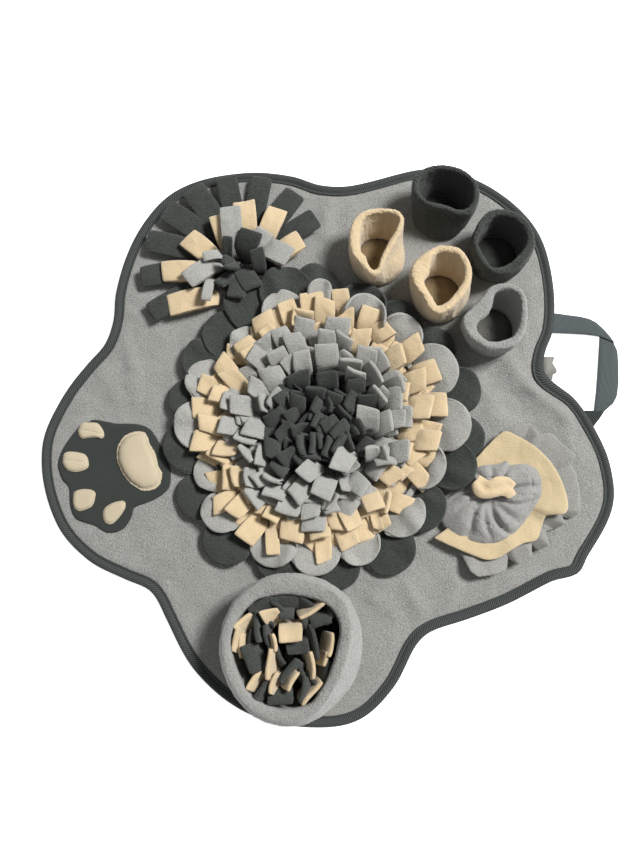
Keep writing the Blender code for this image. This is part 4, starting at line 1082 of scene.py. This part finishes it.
# ---------------------------------------------------------------- rosette
# A grey frill and a cream collar gathered under a round of grey fleece.
# The round is drawn into pleats at its middle, where a scrap of cream strip is sewn.
ROSETTE_AT = Vector((208.0, -78.0, 0.0))
FRILL_EDGE = [  # x, y, height over the mat
    (222, 3, 5), (239, 9, 9), (258, 12, 6), (264, -3, 14), (282, 0, 7), (295, -13, 5), (309, -28, 12),
    (305, -38, 4), (310, -50, 6), (313, -72, 7), (311, -97, 13), (302, -104, 4), (289, -99, 6),
    (292, -111, 15), (281, -117, 4), (270, -120, 5), (271, -137, 17), (259, -143, 6), (253, -133, 4),
    (250, -149, 16), (234, -160, 15), (224, -152, 4), (221, -164, 8), (208, -171, 13), (186, -174, 15),
    (176, -167, 17), (169, -150, 8), (166, -146, 6),
]
COLLAR_EDGE = [
    (184, -36, 13), (191, -29, 14), (203, -16, 14), (223, 1, 14), (242, -7, 14), (260, -19, 16),
    (277, -36, 14), (288, -56, 15), (294, -77, 17), (294, -92, 22), (289, -100, 24), (278, -101, 20),
    (269, -102, 15), (265, -112, 11), (257, -130, 15), (240, -135, 15), (225, -143, 17),
    (210, -152, 15), (195, -154, 16), (178, -148, 15), (157, -139, 15), (134, -128, 12),
]
ROUND_EDGE = [
    (142, -98), (147, -86), (162, -74), (176, -65), (182, -48), (196, -41), (212, -40), (225, -36),
    (229, -41), (244, -39), (257, -44), (264, -54), (266, -68), (262, -83), (251, -98), (241, -111),
    (226, -126), (211, -133), (196, -135), (175, -131), (158, -123), (147, -112),
]
ROUND_SECTION = [  # share of the way out, height over the mat, share of the pleats
    (1.0, 10.0, 0.0), (1.01, 12.5, 0.1), (0.98, 15.5, 0.25), (0.92, 18.0, 0.5), (0.84, 20.4, 0.8),
    (0.74, 22.5, 1.0), (0.63, 23.6, 1.0), (0.52, 24.0, 1.0), (0.42, 23.4, 0.9), (0.32, 21.6, 0.8),
    (0.22, 18.8, 0.7), (0.13, 16.5, 0.5), (0.05, 15.0, 0.2),
]
SECTION_STEPS = 3
PLEATS = [  # bearing near the middle, bearing at the edge, half width, depth
    (252, 286, 7.0, 9.5), (200, 230, 7.0, 8.0), (166, 181, 5.0, 5.5), (183, 200, 5.0, 3.0),
    (288, 316, 8.0, 5.0), (322, 352, 5.0, 5.5), (22, 14, 5.0, 7.0), (2, 358, 5.0, 4.5), (70, 62, 5.0, 4.5),
    (100, 92, 6.0, 3.5), (132, 124, 6.0, 4.0), (226, 258, 6.0, 4.5),
]
CURL_ROWS = [  # points x, y, height from one end to the other
    [(179, -66, 30), (181, -76, 31), (188, -82, 31), (198, -83, 31), (211, -80, 30), (217, -80, 30),
     (223, -83, 30), (233, -77, 28)],
    [(181, -63, 34), (187, -71, 36), (193, -77, 36), (202, -78, 36), (212, -75, 35), (220, -73, 34),
     (227, -75, 33), (231, -74, 30)],
    [(185, -60, 34), (190, -68, 32), (196, -73, 31), (205, -72, 32), (214, -69, 32), (221, -67, 31),
     (226, -70, 30), (227, -71, 28)],
    [(187, -57, 33), (193, -63, 34), (199, -66, 36), (206, -65, 37), (215, -63, 36), (222, -61, 34),
     (228, -64, 33), (231, -67, 31)],
    [(188, -54, 30), (194, -57, 31), (199, -61, 34), (206, -57, 36), (214, -56, 35), (222, -57, 33),
     (228, -61, 31), (232, -64, 28)],
]
PLEAT_REACH = (12.0, 33.0)  # how far out a pleat starts to turn, and over what distance
PLEAT_TURN = 1.15
PLEAT_DEEPENING = 1.25
PLEAT_RADIUS = 34.0  # where a pleat has its own half width
PLEAT_NARROW = 0.35
PLEAT_SINK = 0.9
ROUND_PUFF = 1.6
ROUND_RIPPLE = 0.7
ROUND_LIFT = 2.0
LAP = (172.0, 45.0, 9.0)  # bearing, half width and how far the round laps down there
GATHER_SHARES = (0.0, 0.2, 0.4, 0.6, 0.75, 0.88, 1.0)
GATHER_HOLE = 34.0
EDGE_SPANS = 6
CURL_SPANS = 3
FRILL_PLY = 2.8
ROUND_PLY = 2.6
FRILL_GREY = (0.305, 0.300, 0.280)
ROUND_GREY = (0.325, 0.318, 0.304)
COLLAR_CREAM = (0.560, 0.447, 0.272)


def open_curve(points, per_span):
    """Smooth curve through points with heights, ends kept."""
    spots = [Vector(point) for point in points]
    spots = [2 * spots[0] - spots[1]] + spots + [2 * spots[-1] - spots[-2]]
    curve = []
    for near in zip(spots, spots[1:], spots[2:], spots[3:]):
        curve += curve_spots(*near, per_span)
    return curve + [spots[-2]]


def gathered(name, edge, crisp, low, power, slot, cloth, node):
    """Sheet gathered to a hole round the middle; its pleats grow towards the free edge.

    Crisp is how far the free edge keeps to straight lines between its corners, low the height
    at the hole and power how late the edge rises.
    """
    curve = open_curve(edge, EDGE_SPANS)
    for i, spot in enumerate(curve[:-1]):
        a, b = Vector(edge[i // EDGE_SPANS]), Vector(edge[i // EDGE_SPANS + 1])
        curve[i] = spot.lerp(a.lerp(b, i % EDGE_SPANS / EDGE_SPANS), crisp)
    rows = []
    for share in GATHER_SHARES:
        row = []
        for rim in curve:
            away = Vector((rim.x - ROSETTE_AT.x, rim.y - ROSETTE_AT.y, 0.0))
            root = ROSETTE_AT + away.normalized() * GATHER_HOLE
            spot = root.lerp(Vector((rim.x, rim.y, 0.0)), share)
            spot.z = ON_MAT + low + (rim.z - low) * share**power
            row.append(spot)
        rows.append(row)
    bm = bmesh.new()
    skin(bm, rows, around=False)
    sew_strips(name, bm, slot, node, FRILL_PLY, cloth)


FLEECES["frill"] = fleece("frill_cloth", FRILL_GREY, grain=0.4, pill=1.2, pitch=1.7)
FLEECES["collar"] = fleece("collar_cloth", COLLAR_CREAM, grain=0.14, pill=0.8, pitch=1.6)
gathered("frill", FRILL_EDGE, crisp=0.85, low=1.6, power=1.7, slot="grey_fleece", cloth="frill",
         node="rosette_frill")
gathered("collar", COLLAR_EDGE, crisp=0.2, low=8.0, power=0.8, slot="cream_fleece", cloth="collar",
         node="rosette_collar")

bm = bmesh.new()
rim_curve = closed_curve(ROUND_EDGE, EDGE_SPANS)
section = []
for low, high in zip(ROUND_SECTION, ROUND_SECTION[1:]):
    for step in range(SECTION_STEPS):
        section.append([a + (b - a) * step / SECTION_STEPS for a, b in zip(low, high)])
section.append(ROUND_SECTION[-1])
rings = []
for share, height, pleated in section:
    ring = []
    for rim in rim_curve:
        spot = ROSETTE_AT.lerp(rim, share)
        spot.z = 0.0
        away = spot - ROSETTE_AT
        bearing = math.degrees(math.atan2(away.y, away.x))
        far = (away.length - PLEAT_REACH[0]) / PLEAT_REACH[1]
        narrowing = max(away.length / PLEAT_RADIUS, PLEAT_NARROW)
        dip = 0.0
        for near_bearing, far_bearing, half, depth in PLEATS:
            at = near_bearing + (far_bearing - near_bearing) * min(max(far, 0.0), PLEAT_TURN)
            dip += PLEAT_DEEPENING * depth * bump_at(bearing, at, half / narrowing)
        puff = ROUND_PUFF * wave(spot.x, spot.y, 16.0, 8.0) + ROUND_RIPPLE * wave(spot.x, spot.y, 7.0, 3.0)
        lap = LAP[2] * bump_at(bearing, *LAP[:2]) * share
        spot.z = ON_MAT + height + (puff - dip * PLEAT_SINK + ROUND_LIFT) * pleated - lap
        ring.append(spot)
    rings.append(ring)
skin(bm, rings)
round_cloth = fleece("round_cloth", ROUND_GREY, grain=0.5, pill=1.3, pitch=1.8, crease=3.0)
piece = make_piece("gathered_round", bm, round_cloth, thickness=ROUND_PLY, offset=-1.0, levels=1)
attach(piece, "root")
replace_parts(piece, "rosette_middle")

bm = bmesh.new()
skin(bm, [open_curve(row, CURL_SPANS) for row in CURL_ROWS], around=False)
piece = make_piece("curl", bm, FLEECES["cream_fleece"], thickness=ROUND_PLY, levels=2)
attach(piece, "root")
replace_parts(piece, "rosette_curl")


# ---------------------------------------------------------------- paw
# A dark paw patch sewn flat on the mat, with four toes and a pad of smooth cream cloth.
# They are stuffed and sewn down round the edge, where the seam leaves a thin flange.
PAW_EDGE = [
    (-292, 11), (-284, 14), (-276, 17), (-260, 14), (-248, 12), (-232, 12), (-218, 10), (-208, 5),
    (-200, -5), (-195, -14), (-189, -26), (-184, -38), (-181, -51), (-182, -65), (-188, -73), (-198, -80),
    (-212, -86), (-222, -90), (-225, -93), (-227, -102), (-233, -113), (-241, -119), (-252, -121),
    (-260, -119), (-269, -113), (-281, -109), (-292, -105), (-298, -97), (-301, -85), (-302, -73),
    (-304, -65), (-311, -58), (-316, -47), (-318, -37), (-315, -24), (-308, -10), (-298, 4),
]
PAW_PADS = {  # name: crown, flange, way the crease runs, how far the crown sits off centre, outline
    "paw_toe_1": (4.4, 0.05, -12, (0.0, 0.0), [
        (-295, 3), (-291, 12), (-283, 13), (-272, 12), (-265, 4), (-263, -3), (-266, -7), (-272, -6),
        (-280, -6), (-290, -7), (-294, -3)]),
    "paw_toe_2": (4.6, 0.05, -6, (0.0, 0.0), [
        (-312, -37), (-311, -26), (-305, -23), (-293, -24), (-285, -27), (-281, -34), (-281, -42),
        (-287, -46), (-297, -48), (-307, -45)]),
    "paw_toe_3": (4.6, 0.05, 12, (0.0, 0.0), [
        (-298, -80), (-296, -72), (-288, -69), (-278, -69), (-271, -73), (-271, -80), (-274, -89),
        (-283, -94), (-290, -95), (-296, -91)]),
    "paw_toe_4": (4.0, 0.05, 42, (0.0, 0.0), [
        (-261, -99), (-259, -92), (-251, -86), (-241, -83), (-235, -84), (-234, -90), (-237, -97),
        (-242, -104), (-248, -110), (-254, -111), (-259, -107)]),
    "paw_pad": (8.5, 0.09, 90, (3.6, 2.6), [
        (-247, -20), (-244, -12), (-238, -3), (-229, 1), (-221, 2), (-214, 1), (-210, -5), (-207, -14),
        (-201, -23), (-198, -33), (-195, -43), (-191, -49), (-192, -59), (-196, -66), (-203, -70),
        (-212, -71), (-222, -67), (-230, -61), (-237, -53), (-242, -44), (-246, -35), (-247, -28)]),
}
PAW_FELT = (0.036, 0.041, 0.038)
PAD_CREAM = (0.517, 0.442, 0.314)
PATCH_SECTION = [  # share of the way out, height
    (1.0, 0.0), (1.0, 1.5), (0.985, 2.4), (0.93, 2.6), (0.8, 2.6), (0.6, 2.6), (0.3, 2.6),
]
PATCH_SPANS = 3
PATCH_SWAY = 0.45
PAD_SPANS = 5
PATCH_TOP = 2.7
PAD_GAP = 0.2
PAD_CRINKLE = 0.4
PAD_NICKS = 1.3  # how far the seam of the large pad wavers
TOE_NICKS = 0.3
CREASED = ("paw_toe_1", "paw_toe_2")  # the toes with a crease along them
CREASE_DEPTH = 0.65
CREASE_HALF = 1.1

patch_cloth = fleece("patch_cloth", PAW_FELT, grain=0.2, pill=0.35, fuzz=0.12, crease=1.5)
pad_cloth = fleece("pad_cloth", PAD_CREAM, grain=0.06, pill=0.3, fuzz=0.15, crease=0.6)
bm = bmesh.new()
curve = closed_curve(PAW_EDGE, PATCH_SPANS)
middle = sum(curve, Vector()) / len(curve)
rings = []
for share, height in PATCH_SECTION:
    ring = []
    for rim in curve:
        spot = middle.lerp(rim, share)
        sway = PATCH_SWAY * wave(spot.x, spot.y, 11.0, 5.0) * ease(height / 2.4) * ease((1.0 - share) / 0.07)
        ring.append(Vector((spot.x, spot.y, ON_MAT + height + sway)))
    rings.append(ring)
skin(bm, rings, capped=True)
piece = make_piece("paw", bm, patch_cloth)
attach(piece, "root")
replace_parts(piece, "paw_patch")

for name, (crown, flange, crease_way, shift, outline) in PAW_PADS.items():
    bm = bmesh.new()
    curve = closed_curve(outline, PAD_SPANS)
    middle = sum(curve, Vector()) / len(curve)
    crease = polar(1.0, crease_way + 90.0)
    reach = max((rim - middle).length for rim in curve)
    inner = 1.0 - flange
    nicks = PAD_NICKS if name == "paw_pad" else TOE_NICKS
    seam = [(0.985, 0.0), (1.0, 0.4), (0.99, 1.0), (0.5 * (1.0 + inner), 1.1), (inner + 0.01, 1.0)]
    rise = [(inner - 0.02, crown * 0.42), (inner - 0.07, crown * 0.64), (inner - 0.16, crown * 0.82),
            (inner - 0.24, crown * 0.9), (inner - 0.32, crown * 0.95), (0.5, crown * 0.98)]
    rings = []
    for share, height in seam + rise + [(share, crown) for share in (0.4, 0.3, 0.2, 0.1)]:
        ring = []
        for rim in curve:
            centre = middle + Vector((*shift, 0.0)) * ease((1.0 - share) / 0.3)
            spot = centre.lerp(rim, share * (1.0 + nicks * wave(rim.x, rim.y, 3.2, 4.0) / reach))
            off = (spot - middle).dot(crease) / CREASE_HALF
            crinkle = PAD_CRINKLE * wave(spot.x, spot.y, 4.0, 6.0) * ease(height / 0.8)
            crinkle *= ease((share - inner + 0.06) / 0.06)
            dent = CREASE_DEPTH * math.exp(-off ** 2) * ease((inner - share) / 0.1) * (name in CREASED)
            ring.append(Vector((spot.x, spot.y, ON_MAT + PATCH_TOP + PAD_GAP + height + crinkle - dent)))
        rings.append(ring)
    skin(bm, rings, capped=True)
    piece = make_piece("stuffed_" + name, bm, pad_cloth)
    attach(piece, "root")
    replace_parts(piece, name)


# ---------------------------------------------------------------- strap and tab
# A loop of 25 mm webbing, folded over at its corners and sewn in under the binding; its
# lower end is turned over and lies in shadow, drawn darker as painted shade. A short vinyl tab sticks out
# beside it.
STRAP_RUNS = [  # underside height, one edge, the other edge
    (0.2, [(366, 117), (371, 104), (371, 88), (370, 64), (367, 47), (362, 38), (356, 33), (349, 27)],
     [(349, 123), (348, 113), (347, 104), (344, 77), (341, 52), (339, 40), (337, 27)]),
    (2.1, [(280, 153), (296, 153), (309, 151), (324, 149), (337, 146), (346, 141), (355, 132),
           (362, 123), (367, 115)],
     [(279, 128), (293, 127), (315, 126), (331, 125), (349, 123)]),
]
STRAP_END = [(0.1, [(351, 29), (345, 20), (336, 9), (329, 8)], [(324, 29), (320, 24), (316, 16), (314, 10)])]
STRAP_PLY = 1.7
STRAP_WIDTH = 25.0
STEP_LENGTH = 4.0  # of one step along the webbing on the cloth map
WEAVE_PITCH = 1.4
WEBBING_SECTION = [  # share across, share of the ply
    (0.02, 0.0), (0.5, 0.0), (0.98, 0.0), (1.0, 0.5), (0.97, 0.95), (0.75, 1.0), (0.5, 1.0),
    (0.25, 1.0), (0.03, 0.95), (0.0, 0.5),
]
STRAP_STEPS = 24
STRAP_SAG = 0.35
WEBBING = (0.062, 0.073, 0.076)
# Painted shade: the turned-over end lies in shadow, so its webbing is given this darker colour.
WEBBING_PAINTED_SHADE = (0.022, 0.026, 0.026)
TAB_GREY = (0.25, 0.24, 0.22)
TAB_HEIGHTS = (1.0, 2.4)
TAB_EDGE = [(277, 97), (292, 97), (289, 89), (294, 80), (293, 76), (289, 75), (288, 69), (286, 66), (272, 68)]


def resample(points, steps):
    """Points spaced evenly along a chain of flat points."""
    spots = [Vector((*point, 0.0)) for point in points]
    runs = [0.0]
    for a, b in zip(spots, spots[1:]):
        runs.append(runs[-1] + (b - a).length)
    even = []
    for step in range(steps + 1):
        at = runs[-1] * step / steps
        i = min(max(j for j in range(len(runs)) if runs[j] <= at), len(spots) - 2)
        even.append(spots[i].lerp(spots[i + 1], (at - runs[i]) / (runs[i + 1] - runs[i])))
    return even


def map_place(point, step):
    """Spot on the cloth map of a point of the section, at a step along the webbing."""
    return STRAP_WIDTH * WEBBING_SECTION[point % len(WEBBING_SECTION)][0], STEP_LENGTH * step


def webbing(name, runs, colour):
    """Flat lengths of webbing, each between its two edges."""
    bm = bmesh.new()
    uv = bm.loops.layers.uv.new("UVMap")
    for low, edge_a, edge_b in runs:
        rings = []
        for a, b in zip(resample(edge_a, STRAP_STEPS), resample(edge_b, STRAP_STEPS)):
            sag = STRAP_SAG * wave(a.x, a.y, 22.0, 4.0)
            ring = []
            for part, up in WEBBING_SECTION:
                spot = a.lerp(b, part)
                spot.z = low + (STRAP_PLY + max(sag, 0.0)) * up
                ring.append(spot)
            rings.append(ring)
        skin(bm, rings, capped=True, uv=uv, place=map_place)
    piece = make_piece(name, bm, twill(name + "_cloth", colour, WEAVE_PITCH, 0.0))
    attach(piece, "root")
    return piece


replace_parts(webbing("strap", STRAP_RUNS, WEBBING), "carry_strap")
# The turned-over end, in the darker colour of painted shade.
webbing("strap_end", STRAP_END, WEBBING_PAINTED_SHADE)

tab_vinyl = fleece("tab_cloth", TAB_GREY, grain=0.2, pill=0.2, fuzz=0.0)
bm = bmesh.new()
skin(bm, [[Vector((x, y, z)) for x, y in TAB_EDGE] for z in TAB_HEIGHTS], capped=True)
piece = make_piece("tab", bm, tab_vinyl)
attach(piece, "root")
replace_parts(piece, "edge_tab")
